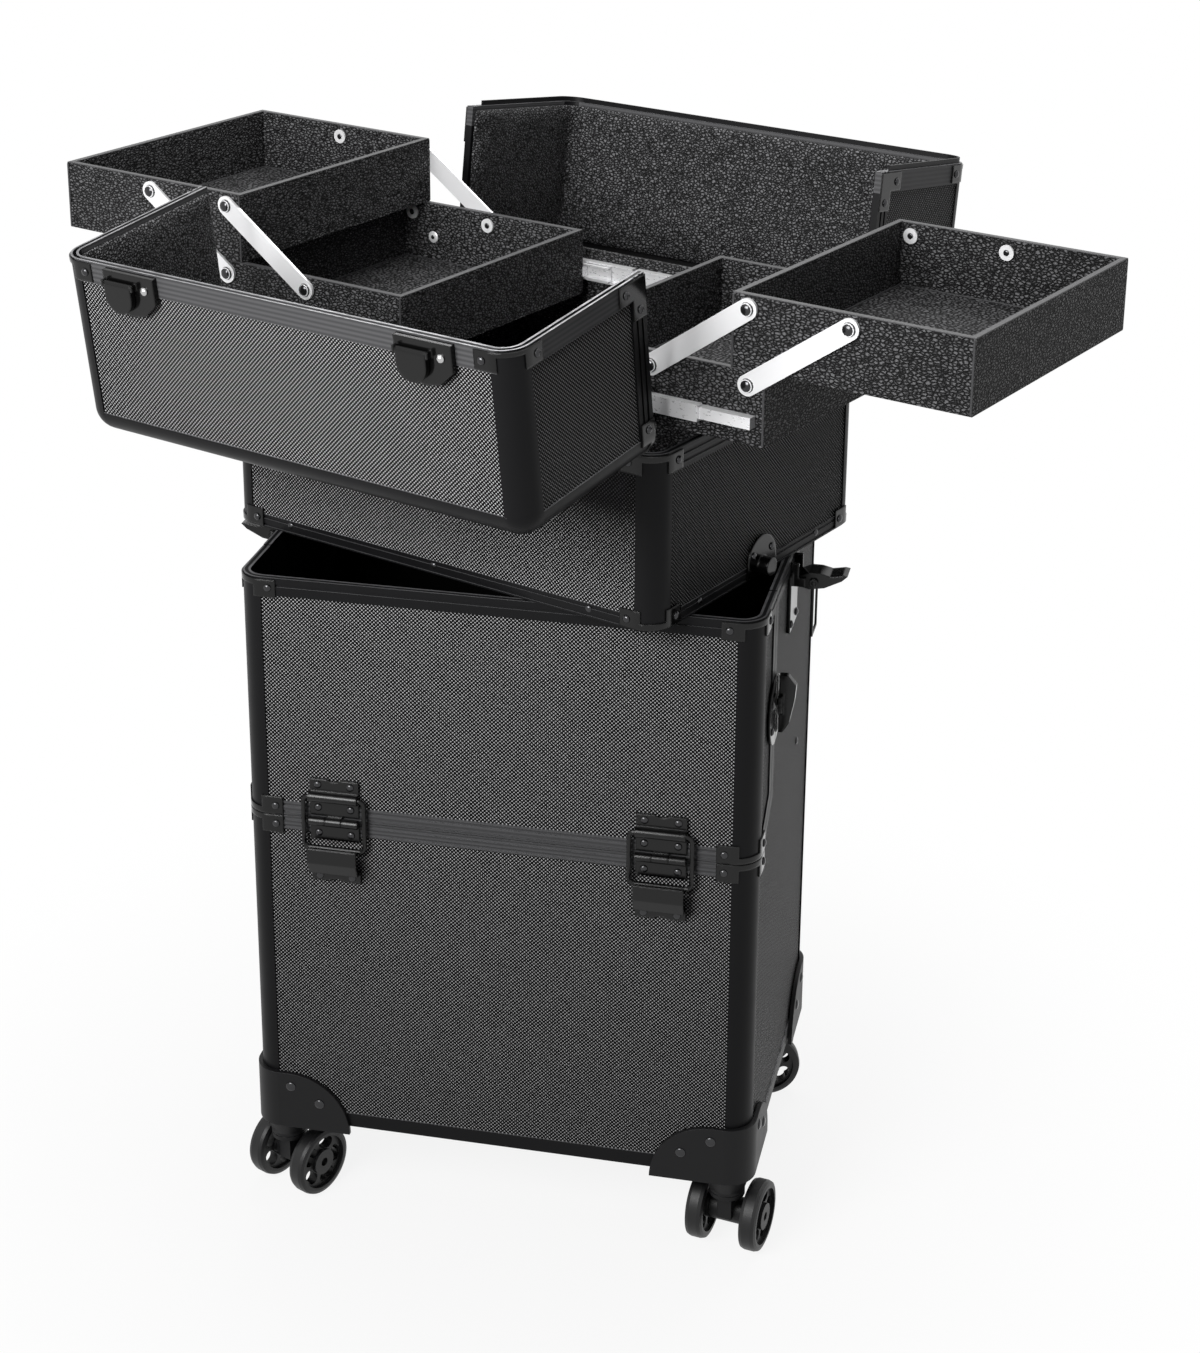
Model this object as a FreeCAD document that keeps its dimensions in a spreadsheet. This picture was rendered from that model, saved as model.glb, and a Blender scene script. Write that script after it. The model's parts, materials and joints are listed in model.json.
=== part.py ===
import FreeCAD, Part
import os
import re
import Sketcher
from FreeCAD import Placement, Rotation, Vector

# Rolling makeup train case, in millimetres. The origin is on the floor under the middle of the trolley,
# X runs to the right, Y to the back and Z up. It stands open: the top case sits askew on the trolley,
# both half lids are folded out, the lower trays are drawn apart and the upper trays are swung outwards.

SIZES = {
    # Trolley box and the profiles that both boxes are framed with
    "case_width": 340,
    "case_depth": 242,
    "ride_height": 65,
    "trolley_height": 400.5,
    "corner_round": 16,
    "frame_wall": 4,
    "panel_thick": 4,
    "panel_recess": 1,
    "rim_tall": 14,
    "trolley_rim": 12,
    "rim_deep": 5,
    "rib_tall": 2,
    "rib_deep": 0.8,
    "rib_pitch": 5,
    "foot_rail": 10,
    "bracket_thick": 1,
    "bracket_tall": 13,
    "bracket_reach": 10,
    "bracket_band": 4,
    # Drop-front door
    "seam_height": 232.7,
    "seam_gap": 0.8,
    "seam_rail": 10,
    "door_return": 53,
    "door_slant": 25,
    "door_drop": 0.4,
    "strip_wide": 8,
    # Butt hinges of the door and the lids
    "hinge_inset": 61.5,
    "hinge_wide": 33,
    "hinge_out": 3.5,
    "knuckle_round": 3,
    "knuckle_long": 11,
    "knuckle_gap": 0.4,
    "leaf_thick": 1.5,
    "leaf_tall": 14,
    "pin_round": 1.2,
    "pin_gap": 0.05,
    # Stop of the door hinge: curled strap, sliding bail and sleeve
    "bail_wire": 1.5,
    "bail_gap": 0.4,
    "bail_wide": 41,
    "bail_bend": 4,
    "bail_above": 17.5,
    "bail_below": 19.5,
    "strap_tall": 12,
    "sleeve_top": 17,
    "sleeve_deep": 9.6,
    "sleeve_waist": 26,
    "sleeve_foot": 36,
    "sleeve_tall": 44,
    "notch_round": 8,
    "notch_deep": 1.5,
    # Corner guards and casters
    "guard_wall": 3,
    "guard_tall": 37,
    "guard_flat": 8,
    "guard_drop": 5,
    "socket_round": 12,
    "socket_tall": 19,
    "stem_round": 5,
    "stem_gap": 0.05,
    "wheel_round": 24,
    "wheel_wide": 12,
    "wheel_apart": 38,
    "wheel_trail": 8,
    "hub_round": 9,
    "axle_round": 3,
    "web_wide": 5,
    "spoke_gap_round": 4.2,
    "spoke_gap_long": 5,
    "spoke_gap_ring": 13.5,
    "ring_deep": 5,
    "web_dish": 2.5,
    "tread_bevel": 3,
    "caster_angle_front_left": -25,
    "caster_angle_front_right": -10,
    "caster_angle_rear_left": -18,
    "caster_angle_rear_right": 105,
    # Draw latches on the trolley's ends
    "end_latch_wide": 30,
    "end_latch_tall": 40,
    "end_latch_low": 10.5,
    "lever_out": 7,
    "lever_pin": 1.5,
    "lever_wide": 16,
    "lever_long": 30,
    "lever_thick": 5,
    "lever_rise": 6,
    "ear_tall": 13,
    "end_bail_long": 36,
    "end_bail_wide": 20,
    "end_bail_out": 8,
    # Butterfly latches beside the door seam
    "turn_latch_low": 82,
    "turn_latch_tall": 46,
    "turn_latch_wide": 21,
    "rotor_round": 8,
    "rotor_thick": 3,
    "wing_long": 40,
    "wing_wide": 5,
    "wing_tall": 8,
    # Top case and its place on the trolley
    "top_width": 338,
    "top_depth": 242,
    "top_height": 114,
    "top_yaw": -22.1,
    "top_shift_x": -1.7,
    "top_shift_y": 20.4,
    "base_rail": 9,
    "catch_wide": 34,
    "catch_tall": 26,
    "catch_low": 1,
    "knob_round": 6,
    "knob_long": 9,
    # Half lids
    "lid_height": 128,
    "front_lid_depth": 118,
    "rear_lid_depth": 120,
    "lid_gap": 0.5,
    "groove_wide": 2,
    "groove_deep": 4,
    "tongue_wide": 1.4,
    "tongue_long": 3.4,
    "lid_hinge_inset": 60.5,
    "lid_hinge_out": 2,
    "lid_knuckle_round": 1.9,
    "lid_pin_round": 1,
    "front_lid_angle": 97.65,
    "rear_lid_angle": 98.15,
    "lining_thick": 3,
    "lid_latch_inset": 59,
    "lid_latch_wide": 40,
    "lid_latch_tall": 28,
    "lid_latch_thick": 4,
    "thumb_wide": 21,
    "thumb_long": 18,
    "thumb_thick": 4,
    "thumb_shift": -6,
    # Trays, their slides and arms
    "tray_length": 156,
    "tray_depth": 200,
    "tray_height": 45,
    "tray_wall": 4,
    "tray_split": 3,
    "tray_lift": 12.7,
    "left_drawn": 38.2,
    "right_drawn": 70.6,
    "board_top": 42,
    "slide_room": 9.5,
    "slide_tall": 14,
    "slide_high": 15.3,
    "slide_long": 150,
    "slide_sheet": 1.2,
    "slide_gap": 0.5,
    "arm_long": 80,
    "arm_lift": 45.8,
    "arm_wide": 13,
    "arm_thick": 1.8,
    "arm_gap": 0.4,
    "pivot_inset": 11,
    "pivot_apart": 67,
    "pivot_below": 8,
    "pivot_round": 2.4,
    "head_round": 4,
    "head_thick": 1.5,
    "washer_round": 5,
}

doc = FreeCAD.newDocument("train_case")
sheet = doc.addObject("Spreadsheet::Sheet", "Sizes")
for row, (name, value) in enumerate(SIZES.items(), start=1):
    sheet.set(f"A{row}", name)
    sheet.set(f"B{row}", str(value))
    sheet.setAlias(f"B{row}", name)
doc.recompute()

nodes = []


# Building blocks: every size and place is a formula on the sheet's names

def formula(text):
    """The text with each size name turned into a link to its cell."""
    link = lambda word: "Sizes." + word.group() if word.group() in SIZES else word.group()
    return re.sub(r"[a-z]\w+", link, str(text))


def bind(thing, **sizes):
    for name, text in sizes.items():
        thing.setExpression(name, formula(text))


def put(thing, at, turn=Rotation()):
    thing.Placement = Placement(Vector(), turn)
    for axis, text in zip("xyz", at):
        thing.setExpression(f"Placement.Base.{axis}", formula(text))
    return thing


def both(half):
    return f"-({half})", half


def signed(side, text):
    return text if side > 0 else f"-({text})"


def span(side, inner, outer):
    """A range measured outwards from the middle, on the positive or the negative side."""
    return (inner, outer) if side > 0 else (f"-({outer})", f"-({inner})")


def block(x, y, z):
    box = doc.addObject("Part::Box", "block")
    ranges = (x, y, z)
    for side, (low, high) in zip(("Length", "Width", "Height"), ranges):
        box.setExpression(side, formula(f"({high}) - ({low})"))
    return put(box, [low for low, high in ranges])


# Turns that lay a piece's own Z along an axis, in the order X, Y, Z of the row
ALONG = {
    "x": Rotation(Vector(1, 1, 1), 120),
    "y": Rotation(Vector(1, 1, 1), 240),
    "z": Rotation(),
}


def rod(axis, radius, run, at):
    """A round bar along an axis: run is its range there, at the place of its axis on the other two."""
    bar = doc.addObject("Part::Cylinder", "rod")
    bind(bar, Radius=radius, Height=f"({run[1]}) - ({run[0]})")
    place = {"x": (run[0], *at), "y": (at[0], run[0], at[1]), "z": (*at, run[0])}[axis]
    return put(bar, place, ALONG[axis])


def cone(low_round, high_round, low, high, at):
    taper = doc.addObject("Part::Cone", "cone")
    bind(taper, Radius1=low_round, Radius2=high_round, Height=f"({high}) - ({low})")
    return put(taper, (*at, low))


def cut(base, tools):
    piece = doc.addObject("Part::Cut", "cut")
    piece.Base = base
    piece.Tool = tools[0] if len(tools) == 1 else fuse(tools)
    return piece


def fuse(pieces):
    whole = doc.addObject("Part::MultiFuse", "fuse")
    whole.Shapes = pieces
    whole.Refine = True
    return whole


def mirror(piece, normal):
    twin = doc.addObject("Part::Mirroring", "twin")
    twin.Source = piece
    twin.Normal = normal
    return twin


def quarter(axis, signs, run, at, outer="corner_round", wall="frame_wall", start=0, sweep=90):
    """A quarter-round edge profile, or a sweep of it: signs say which way it bulges on the next two axes."""
    turn = {(1, 1): 0, (-1, 1): 90, (-1, -1): 180, (1, -1): 270}[signs]
    shells = []
    for radius in (outer, f"{outer} - {wall}"):
        shell = doc.addObject("Part::Cylinder", "quarter")
        bind(shell, Radius=radius, Height=f"({run[1]}) - ({run[0]})")
        shell.Angle = sweep
        place = {"x": (run[0], *at), "y": (at[1], run[0], at[0]), "z": (*at, run[0])}[axis]
        shells.append(put(shell, place, ALONG[axis] * Rotation(Vector(0, 0, 1), turn + start)))
    return cut(shells[0], shells[1:])


def common(base, tool):
    shared = doc.addObject("Part::Common", "common")
    shared.Base = base
    shared.Tool = tool
    return shared


def outline(points):
    """A closed, straight-sided sketch with a formula for each corner."""
    sketch = doc.addObject("Sketcher::SketchObject", "outline")
    count = len(points)
    flat = [Vector(index % 7, index, 0) for index in range(count)]
    for index in range(count):
        sketch.addGeometry(Part.LineSegment(flat[index], flat[(index + 1) % count]))
    for index in range(count):
        sketch.addConstraint(Sketcher.Constraint("Coincident", index, 2, (index + 1) % count, 1))
    for index, point in enumerate(points):
        for kind, text in zip(("DistanceX", "DistanceY"), point):
            number = sketch.addConstraint(Sketcher.Constraint(kind, -1, 1, index, 1, 1.0))
            sketch.setExpression(f"Constraints[{number}]", formula(text))
    return sketch


def plate(points, plane, low, high):
    """A flat plate of one outline: plane "yz" stands along X, "xz" along Y, and "xy" lies along Z."""
    sketch = outline(points)
    if plane == "yz":
        put(sketch, (low, 0, 0), ALONG["x"])
    elif plane == "xz":
        put(sketch, (0, high, 0), Rotation(Vector(1, 0, 0), 90))
    else:
        put(sketch, (0, 0, low))
    solid = doc.addObject("Part::Extrusion", "plate")
    solid.Base = sketch
    solid.DirMode = "Normal"
    solid.Solid = True
    bind(solid, LengthFwd=f"({high}) - ({low})")
    return solid


def turned(points, at):
    """A solid of revolution about an axle along X: each point is a place on the axle and a radius."""
    solid = doc.addObject("Part::Revolution", "turned")
    solid.Source = outline(points)
    solid.Axis = Vector(1, 0, 0)
    solid.Angle = 360
    solid.Solid = True
    return put(solid, at)


def node(name, pieces, frame=None):
    """One named sub-part: one solid, or a group of like solids of one body."""
    group = doc.addObject("Part::Compound", name)
    group.Label = name
    group.Links = pieces
    if frame:
        group.setExpression("Placement", formula(frame))
    nodes.append(group)


# Profiles that both boxes share

TWO_GROOVES = ("- rib_pitch / 2", "+ rib_pitch / 2")
ONE_GROOVE = ("+ rib_tall / 2",)


def rail(axis, side, half, run, rise, steps=TWO_GROOVES):
    """A rim profile along one side of a box, with grooves in its outer face at steps from its middle."""
    def bar(across, height):
        return block(run, across, height) if axis == "x" else block(across, run, height)
    middle = f"(({rise[0]}) + ({rise[1]})) / 2"
    grooves = []
    for step in steps:
        height = (f"{middle} {step} - rib_tall / 2", f"{middle} {step} + rib_tall / 2")
        grooves.append(bar(span(side, f"{half} - rib_deep", f"{half} + rib_deep"), height))
    return cut(bar(span(side, f"{half} - rim_deep", half), rise), grooves)


# Sweep of a post that a bracket's tab still covers, in degrees
TAB_WRAP = 16


def wrap(axis, signs, rise, band_rise, at):
    """A bracket's share on a round post: a narrow band, and a strip as tall as each tab beside it."""
    outer = "corner_round + bracket_thick"
    band = quarter(axis, signs, band_rise, at, outer, "bracket_thick")
    strips = [quarter(axis, signs, rise, at, outer, "bracket_thick", start, TAB_WRAP)
              for start in (0, 90 - TAB_WRAP)]
    return [band, *strips]


def bracket(signs, half_x, half_y, rise, edge):
    """A pressed steel corner: a riveting tab on each face and a narrower band round the post, at one edge."""
    side_x, side_y = signs
    low, high = rise
    band_rise = (f"{high} - bracket_band", high) if edge > 0 else (low, f"{low} + bracket_band")
    post_x = f"{half_x} - corner_round"
    post_y = f"{half_y} - corner_round"
    centre = (signed(side_x, post_x), signed(side_y, post_y))
    on_post = wrap("z", signs, rise, band_rise, centre)
    tab_front = block(span(side_x, f"{post_x} - bracket_reach", post_x),
                      span(side_y, half_y, f"{half_y} + bracket_thick"), rise)
    tab_side = block(span(side_x, half_x, f"{half_x} + bracket_thick"),
                     span(side_y, f"{post_y} - bracket_reach", post_y), rise)
    return fuse([*on_post, tab_front, tab_side])


def rim_corner(signs, half_x, half_y, rise):
    centre = (signed(signs[0], f"{half_x} - corner_round"), signed(signs[1], f"{half_y} - corner_round"))
    return quarter("z", signs, rise, centre, wall="rim_deep")


def leaf(middle, side, face, out, height, rising, knuckles, bored, roll="knuckle_round", pin="pin_round"):
    """One leaf of a butt hinge on a face, with its share of the knuckles round the pin's line."""
    line = signed(side, f"{face} + {out}")
    sheet_y = span(side, face, f"{face} + leaf_thick")
    far = f"{height} + ({rising}) * leaf_tall"
    near = f"{height} + ({rising}) * ({roll} + knuckle_gap)"
    rise = (near, far) if rising > 0 else (far, near)
    reach = (height, near) if rising > 0 else (near, height)
    pieces = [block((f"{middle} - hinge_wide / 2", f"{middle} + hinge_wide / 2"), sheet_y, rise)]
    for low, high in knuckles:
        run = (f"{middle} + {low}", f"{middle} + {high}")
        barrel = [block(run, sheet_y, reach), rod("x", roll, run, (line, height))]
        pieces.append(cut(fuse(barrel), [rod("x", f"{pin} + pin_gap", run, (line, height))]) if bored
                      else fuse(barrel))
    if not bored:
        run = (f"{middle} - hinge_wide / 2", f"{middle} + hinge_wide / 2")
        pieces.append(rod("x", pin, run, (line, height)))
    return fuse(pieces)


MIDDLE_KNUCKLE = [("-knuckle_long / 2 + knuckle_gap / 2", "knuckle_long / 2 - knuckle_gap / 2")]
END_KNUCKLES = [("-hinge_wide / 2", "-knuckle_long / 2 - knuckle_gap / 2"),
                ("knuckle_long / 2 + knuckle_gap / 2", "hinge_wide / 2")]


def wire_loop(middle, top, tall, wide, wire, line_y, bend):
    """A closed rectangular bail of round wire, hanging from its upper bar."""
    half = f"({wide}) / 2"
    low = f"{top} - ({tall})"
    pieces = []
    for height in (top, low):
        pieces.append(rod("x", wire, (f"{middle} - {half} + {bend}", f"{middle} + {half} - {bend}"),
                          (line_y, height)))
    for side in "-+":
        pieces.append(rod("z", wire, (f"{low} + {bend}", f"{top} - {bend}"),
                          (f"{middle} {side} {half}", line_y)))
    corners = {0: ("+", top, "-"), 90: ("-", top, "-"), 180: ("-", low, "+"), 270: ("+", low, "+")}
    for turn, (side, height, inward) in corners.items():
        corner = doc.addObject("Part::Torus", "bend")
        corner.Angle3 = 90
        bind(corner, Radius1=bend, Radius2=wire)
        back = "-" if side == "+" else "+"
        at = (f"{middle} {side} {half} {back} {bend}", line_y, f"{height} {inward} {bend}")
        pieces.append(put(corner, at, Rotation(Vector(1, 0, 0), 90) * Rotation(Vector(0, 0, 1), turn)))
    return fuse(pieces)


# Heights and half sizes of the trolley

HALF_X = "case_width / 2"
HALF_Y = "case_depth / 2"
POST_X = "(case_width / 2 - corner_round)"
POST_Y = "(case_depth / 2 - corner_round)"
FLOOR = "ride_height"
SEAM = "(ride_height + seam_height)"
RIM = "(ride_height + trolley_height)"
DOOR_RIM = "(ride_height + trolley_height - door_drop)"
PANEL = ("- panel_recess - panel_thick", "- panel_recess")
SEAM_Y = "(door_return - case_depth / 2)"
SLOPE = "(door_slant / (door_return - corner_round))"
HINGE_MIDDLES = both("(case_width / 2 - hinge_inset)")


def panel_range(side, half):
    return span(side, half + PANEL[0], half + PANEL[1])


def slant(y, lift):
    """Height of the side seam's sloping stretch at a depth y, raised by lift."""
    return f"{SEAM} + {lift} + ({y} + {POST_Y}) * {SLOPE}"


# Trolley: boards between the edge profiles

FOOT = (FLOOR, FLOOR + " + foot_rail")
BOTTOM = (FLOOR, FLOOR + " + panel_thick")
node("trolley_floor", [fuse([block(both(POST_X), both(HALF_Y + " - rim_deep"), BOTTOM),
                             block(both(HALF_X + " - rim_deep"), both(POST_Y), BOTTOM)])])
node("trolley_front_panel", [block(both(POST_X), panel_range(-1, HALF_Y),
                                   (FOOT[1], SEAM + " - seam_rail"))])
node("trolley_rear_panel", [block(both(POST_X), panel_range(1, HALF_Y),
                                  (FOOT[1], RIM + " - trolley_rim"))])
SEAM_BACK = f"({SEAM_Y} + seam_gap / 2)"
STRIP_BACK = f"({SEAM_BACK} + strip_wide)"
side_outline = [
    (f"-{POST_Y}", FOOT[1]),
    (POST_Y, FOOT[1]),
    (POST_Y, RIM + " - trolley_rim"),
    (STRIP_BACK, RIM + " - trolley_rim"),
    (STRIP_BACK, slant(STRIP_BACK, "(-seam_rail)")),
    (f"-{POST_Y}", SEAM + " - seam_rail"),
]
for name, side in (("left", -1), ("right", 1)):
    node(f"trolley_{name}_panel", [plate(side_outline, "yz", *panel_range(side, HALF_X))])

# Trolley frame: rear posts, lower front posts, bottom edges, rims, seam rail and side seam strips

mitre = [(SEAM_BACK, slant(SEAM_BACK, "(-seam_gap / 2)")), (STRIP_BACK, slant(STRIP_BACK, "(-seam_rail)"))]
strip_outlines = [
    [*mitre, (STRIP_BACK, RIM + " - trolley_rim"), (SEAM_BACK, RIM + " - trolley_rim")],
    [*mitre, (f"-{POST_Y}", SEAM + " - seam_rail"), (f"-{POST_Y}", SEAM + " - seam_gap / 2")],
]
frame_pieces = [
    block(both(POST_X), span(-1, HALF_Y + " - rim_deep", HALF_Y), FOOT),
    block(both(POST_X), span(1, HALF_Y + " - rim_deep", HALF_Y), FOOT),
    rail("x", 1, HALF_Y, both(POST_X), (RIM + " - trolley_rim", RIM), ONE_GROOVE),
    rail("x", -1, HALF_Y, both(POST_X), (SEAM + " - seam_rail", SEAM + " - seam_gap / 2")),
]
for side in (-1, 1):
    post = signed(side, POST_X)
    frame_pieces += [
        quarter("z", (side, 1), (FLOOR, RIM + " - trolley_rim"), (post, POST_Y)),
        rim_corner((side, 1), HALF_X, HALF_Y, (RIM + " - trolley_rim", RIM)),
        quarter("z", (side, -1), (FLOOR, SEAM + " - seam_gap / 2"), (post, f"-{POST_Y}")),
        block(span(side, HALF_X + " - rim_deep", HALF_X), both(POST_Y), FOOT),
        rail("y", side, HALF_X, (SEAM_BACK, POST_Y), (RIM + " - trolley_rim", RIM), ONE_GROOVE),
        *(plate(outline, "yz", *span(side, HALF_X + " - rim_deep", HALF_X)) for outline in strip_outlines),
    ]
node("trolley_frame", frame_pieces)

bracket_pieces = []
for side in (-1, 1):
    bracket_pieces.append(bracket((side, 1), HALF_X, HALF_Y,
                                  (RIM + " - bracket_tall", RIM + " - bracket_thick"), 1))
    bracket_pieces.append(bracket((side, -1), HALF_X, HALF_Y,
                                  (SEAM + " - bracket_tall", SEAM + " - seam_gap / 2"), 1))
node("trolley_brackets", bracket_pieces)

# Moulded corner guards: two rounded wings, a sole under the box and a tapered caster socket

WING = f"(guard_flat + corner_round)"
SOLE = "(ride_height - guard_drop)"


def wing(axis):
    """One wing of a guard on a face of the box, with its quarter-round shoulder."""
    top = "(ride_height + guard_tall)"
    shoulder = "(guard_tall + guard_drop)"
    if axis == "x":
        skin = (f"{HALF_Y}", f"{HALF_Y} + guard_wall")
        flat = block((f"{HALF_X} - {WING}", POST_X), skin, (SOLE, top))
        round_end = rod("y", shoulder, skin, (f"{HALF_X} - {WING}", SOLE))
        keep = block((f"{HALF_X} - {WING} - {shoulder}", f"{HALF_X} - {WING}"), skin, (SOLE, top))
    else:
        skin = (f"{HALF_X}", f"{HALF_X} + guard_wall")
        flat = block(skin, (f"{HALF_Y} - {WING}", POST_Y), (SOLE, top))
        round_end = rod("x", shoulder, skin, (f"{HALF_Y} - {WING}", SOLE))
        keep = block(skin, (f"{HALF_Y} - {WING} - {shoulder}", f"{HALF_Y} - {WING}"), (SOLE, top))
    return [flat, common(round_end, keep)]


def corner_guard():
    outer = "corner_round + guard_wall"
    collar = quarter("z", (1, 1), (SOLE, "ride_height + guard_tall"), (POST_X, POST_Y), outer, "guard_wall")
    reach = f"({WING} + guard_tall + guard_drop - bracket_reach)"
    sole_parts = [
        block((f"{HALF_X} - {reach}", POST_X), (f"{HALF_Y} - {reach}", f"{HALF_Y} + guard_wall"),
              (SOLE, FLOOR)),
        block((POST_X, f"{HALF_X} + guard_wall"), (f"{HALF_Y} - {reach}", POST_Y), (SOLE, FLOOR)),
        rod("z", outer, (SOLE, FLOOR), (POST_X, POST_Y)),
    ]
    neck = f"({FLOOR} - socket_tall)"
    shoulder = f"({neck} + wheel_trail / 4)"
    socket = [
        cone("socket_round", "corner_round", shoulder, SOLE, (POST_X, POST_Y)),
        rod("z", "socket_round", (neck, shoulder), (POST_X, POST_Y)),
    ]
    bore = rod("z", "stem_round + stem_gap", (neck, FLOOR + " - guard_wall"), (POST_X, POST_Y))
    return cut(fuse(wing("x") + wing("y") + [collar] + sole_parts + socket), [bore])


right_guard = corner_guard()
left_guard = mirror(right_guard, Vector(1, 0, 0))
node("corner_guards", [right_guard, left_guard, mirror(right_guard, Vector(0, 1, 0)),
                       mirror(left_guard, Vector(0, 1, 0))])

# Lower halves of the stop hinges: butt leaf with pin, and the bulged sleeve that the bail slides in

sleeve_outline = [
    (f"-{HALF_Y} - sleeve_deep - leaf_thick", f"{SEAM} - sleeve_top"),
    (f"-{HALF_Y} - sleeve_deep", f"{SEAM} - sleeve_top"),
    (f"-{HALF_Y} - sleeve_deep", f"{SEAM} - sleeve_waist"),
    (f"-{HALF_Y} - sleeve_deep * 2 / 3", f"{SEAM} - sleeve_foot + leaf_thick"),
    (f"-{HALF_Y} + panel_recess", f"{SEAM} - sleeve_foot"),
    (f"-{HALF_Y} + panel_recess", f"{SEAM} - sleeve_tall"),
    (f"-{HALF_Y} - leaf_thick", f"{SEAM} - sleeve_tall"),
    (f"-{HALF_Y} - leaf_thick", f"{SEAM} - sleeve_foot - leaf_thick"),
    (f"-{HALF_Y} - sleeve_deep * 2 / 3 - leaf_thick", f"{SEAM} - sleeve_foot"),
    (f"-{HALF_Y} - sleeve_deep - leaf_thick", f"{SEAM} - sleeve_waist - leaf_thick"),
]


def notch(middle, height):
    return rod("y", "notch_round", (f"-{HALF_Y} - sleeve_deep", f"-{HALF_Y} + rim_deep"), (middle, height))


def sleeve(middle):
    """The sleeve plate, drawn in profile, with a shallow notch in its foot between the rivets."""
    body = plate(sleeve_outline, "yz", f"{middle} - hinge_wide / 2", f"{middle} + hinge_wide / 2")
    return cut(body, [notch(middle, f"{SEAM} - sleeve_tall + notch_deep - notch_round")])


hinge_pieces = []
for middle in HINGE_MIDDLES:
    hinge_pieces.append(sleeve(middle))
    hinge_pieces.append(leaf(middle, -1, HALF_Y, "hinge_out", SEAM, -1, END_KNUCKLES, False))
node("hinge_sleeves", hinge_pieces)

# Draw latch bases on the ends and butterfly latch bases beside the seam

LEVER_X = f"({HALF_X} + lever_out)"
LEVER_Z = f"({RIM} - end_latch_low - lever_out)"
TURN_Y = f"({SEAM_BACK} + turn_latch_wide / 2)"
TURN_Z = f"({RIM} - turn_latch_low)"
BASE_SKIN = (HALF_X + " - panel_recess", HALF_X + " + leaf_thick")


def end_latch_base(side):
    board = block(span(side, *BASE_SKIN), both("end_latch_wide / 2"),
                  (f"{RIM} - trolley_rim - end_latch_tall", f"{RIM} - trolley_rim"))
    ears = []
    for y in (-1, 1):
        ears.append(block(span(side, HALF_X, f"{LEVER_X} + lever_pin * 2"),
                          span(y, "lever_wide / 2 + arm_gap", "lever_wide / 2 + arm_gap + leaf_thick"),
                          (f"{LEVER_Z} - lever_pin * 2", f"{LEVER_Z} + lever_pin * 2")))
        ears.append(block(span(side, HALF_X, f"{LEVER_X} - lever_pin"),
                          span(y, "lever_wide / 2 + arm_gap", "lever_wide / 2 + arm_gap + leaf_thick"),
                          (f"{LEVER_Z}", f"{LEVER_Z} + ear_tall")))
    rivet = rod("y", "lever_pin", both("lever_wide / 2 + arm_gap + leaf_thick"),
                (signed(side, LEVER_X), LEVER_Z))
    return fuse([board, *ears, rivet])


def turn_latch_dish(side, across):
    """Half of a round plate over the side seam, on the trolley's or the door's share of it."""
    skin = span(side, HALF_X, HALF_X + " + leaf_thick")
    disc = rod("x", "turn_latch_tall / 2", skin, (SEAM_Y, TURN_Z))
    return common(disc, block(skin, across, (f"{TURN_Z} - turn_latch_tall", f"{TURN_Z} + turn_latch_tall")))


def turn_latch_base(side):
    board = turn_latch_dish(side, (SEAM_BACK, f"{SEAM_BACK} + turn_latch_tall"))
    stud = rod("x", "pivot_round", span(side, HALF_X, HALF_X + " + leaf_thick + rotor_thick"),
               (TURN_Y, TURN_Z))
    return fuse([board, stud])


node("latch_bases", [end_latch_base(-1), end_latch_base(1), turn_latch_base(-1), turn_latch_base(1)])

# Door: panel, cheeks, frame and fittings

SEAM_FRONT = f"({SEAM_Y} - seam_gap / 2)"
STRIP_FRONT = f"({SEAM_FRONT} - strip_wide)"
node("door_panel", [block(both(POST_X), panel_range(-1, HALF_Y),
                          (SEAM + " + seam_rail", DOOR_RIM + " - trolley_rim"))])
cheek_outline = [
    (f"-{POST_Y}", SEAM + " + seam_rail"),
    (STRIP_FRONT, slant(STRIP_FRONT, "seam_rail")),
    (STRIP_FRONT, DOOR_RIM + " - trolley_rim"),
    (f"-{POST_Y}", DOOR_RIM + " - trolley_rim"),
]
node("door_cheeks", [plate(cheek_outline, "yz", *panel_range(side, HALF_X)) for side in (-1, 1)])
mitre = [(SEAM_FRONT, slant(SEAM_FRONT, "seam_gap / 2")), (STRIP_FRONT, slant(STRIP_FRONT, "seam_rail"))]
door_strip_outlines = [
    [*mitre, (STRIP_FRONT, DOOR_RIM + " - trolley_rim"), (SEAM_FRONT, DOOR_RIM + " - trolley_rim")],
    [*mitre, (f"-{POST_Y}", SEAM + " + seam_rail"), (f"-{POST_Y}", SEAM + " + seam_gap / 2")],
]
door_pieces = [
    rail("x", -1, HALF_Y, both(POST_X), (SEAM + " + seam_gap / 2", SEAM + " + seam_rail")),
    rail("x", -1, HALF_Y, both(POST_X), (DOOR_RIM + " - trolley_rim", DOOR_RIM), ONE_GROOVE),
]
door_brackets = []
for side in (-1, 1):
    post = signed(side, POST_X)
    door_pieces += [
        quarter("z", (side, -1), (SEAM + " + seam_gap / 2", DOOR_RIM + " - trolley_rim"),
                (post, f"-{POST_Y}")),
        rim_corner((side, -1), HALF_X, HALF_Y, (DOOR_RIM + " - trolley_rim", DOOR_RIM)),
        rail("y", side, HALF_X, (f"-{POST_Y}", SEAM_FRONT), (DOOR_RIM + " - trolley_rim", DOOR_RIM),
             ONE_GROOVE),
        *(plate(outline, "yz", *span(side, HALF_X + " - rim_deep", HALF_X))
          for outline in door_strip_outlines),
    ]
    door_brackets += [
        bracket((side, -1), HALF_X, HALF_Y, (SEAM + " + seam_gap / 2", SEAM + " + bracket_tall"), -1),
        bracket((side, -1), HALF_X, HALF_Y, (DOOR_RIM + " - bracket_tall", DOOR_RIM + " - bracket_thick"), 1),
    ]
node("door_frame", door_pieces)

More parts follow.
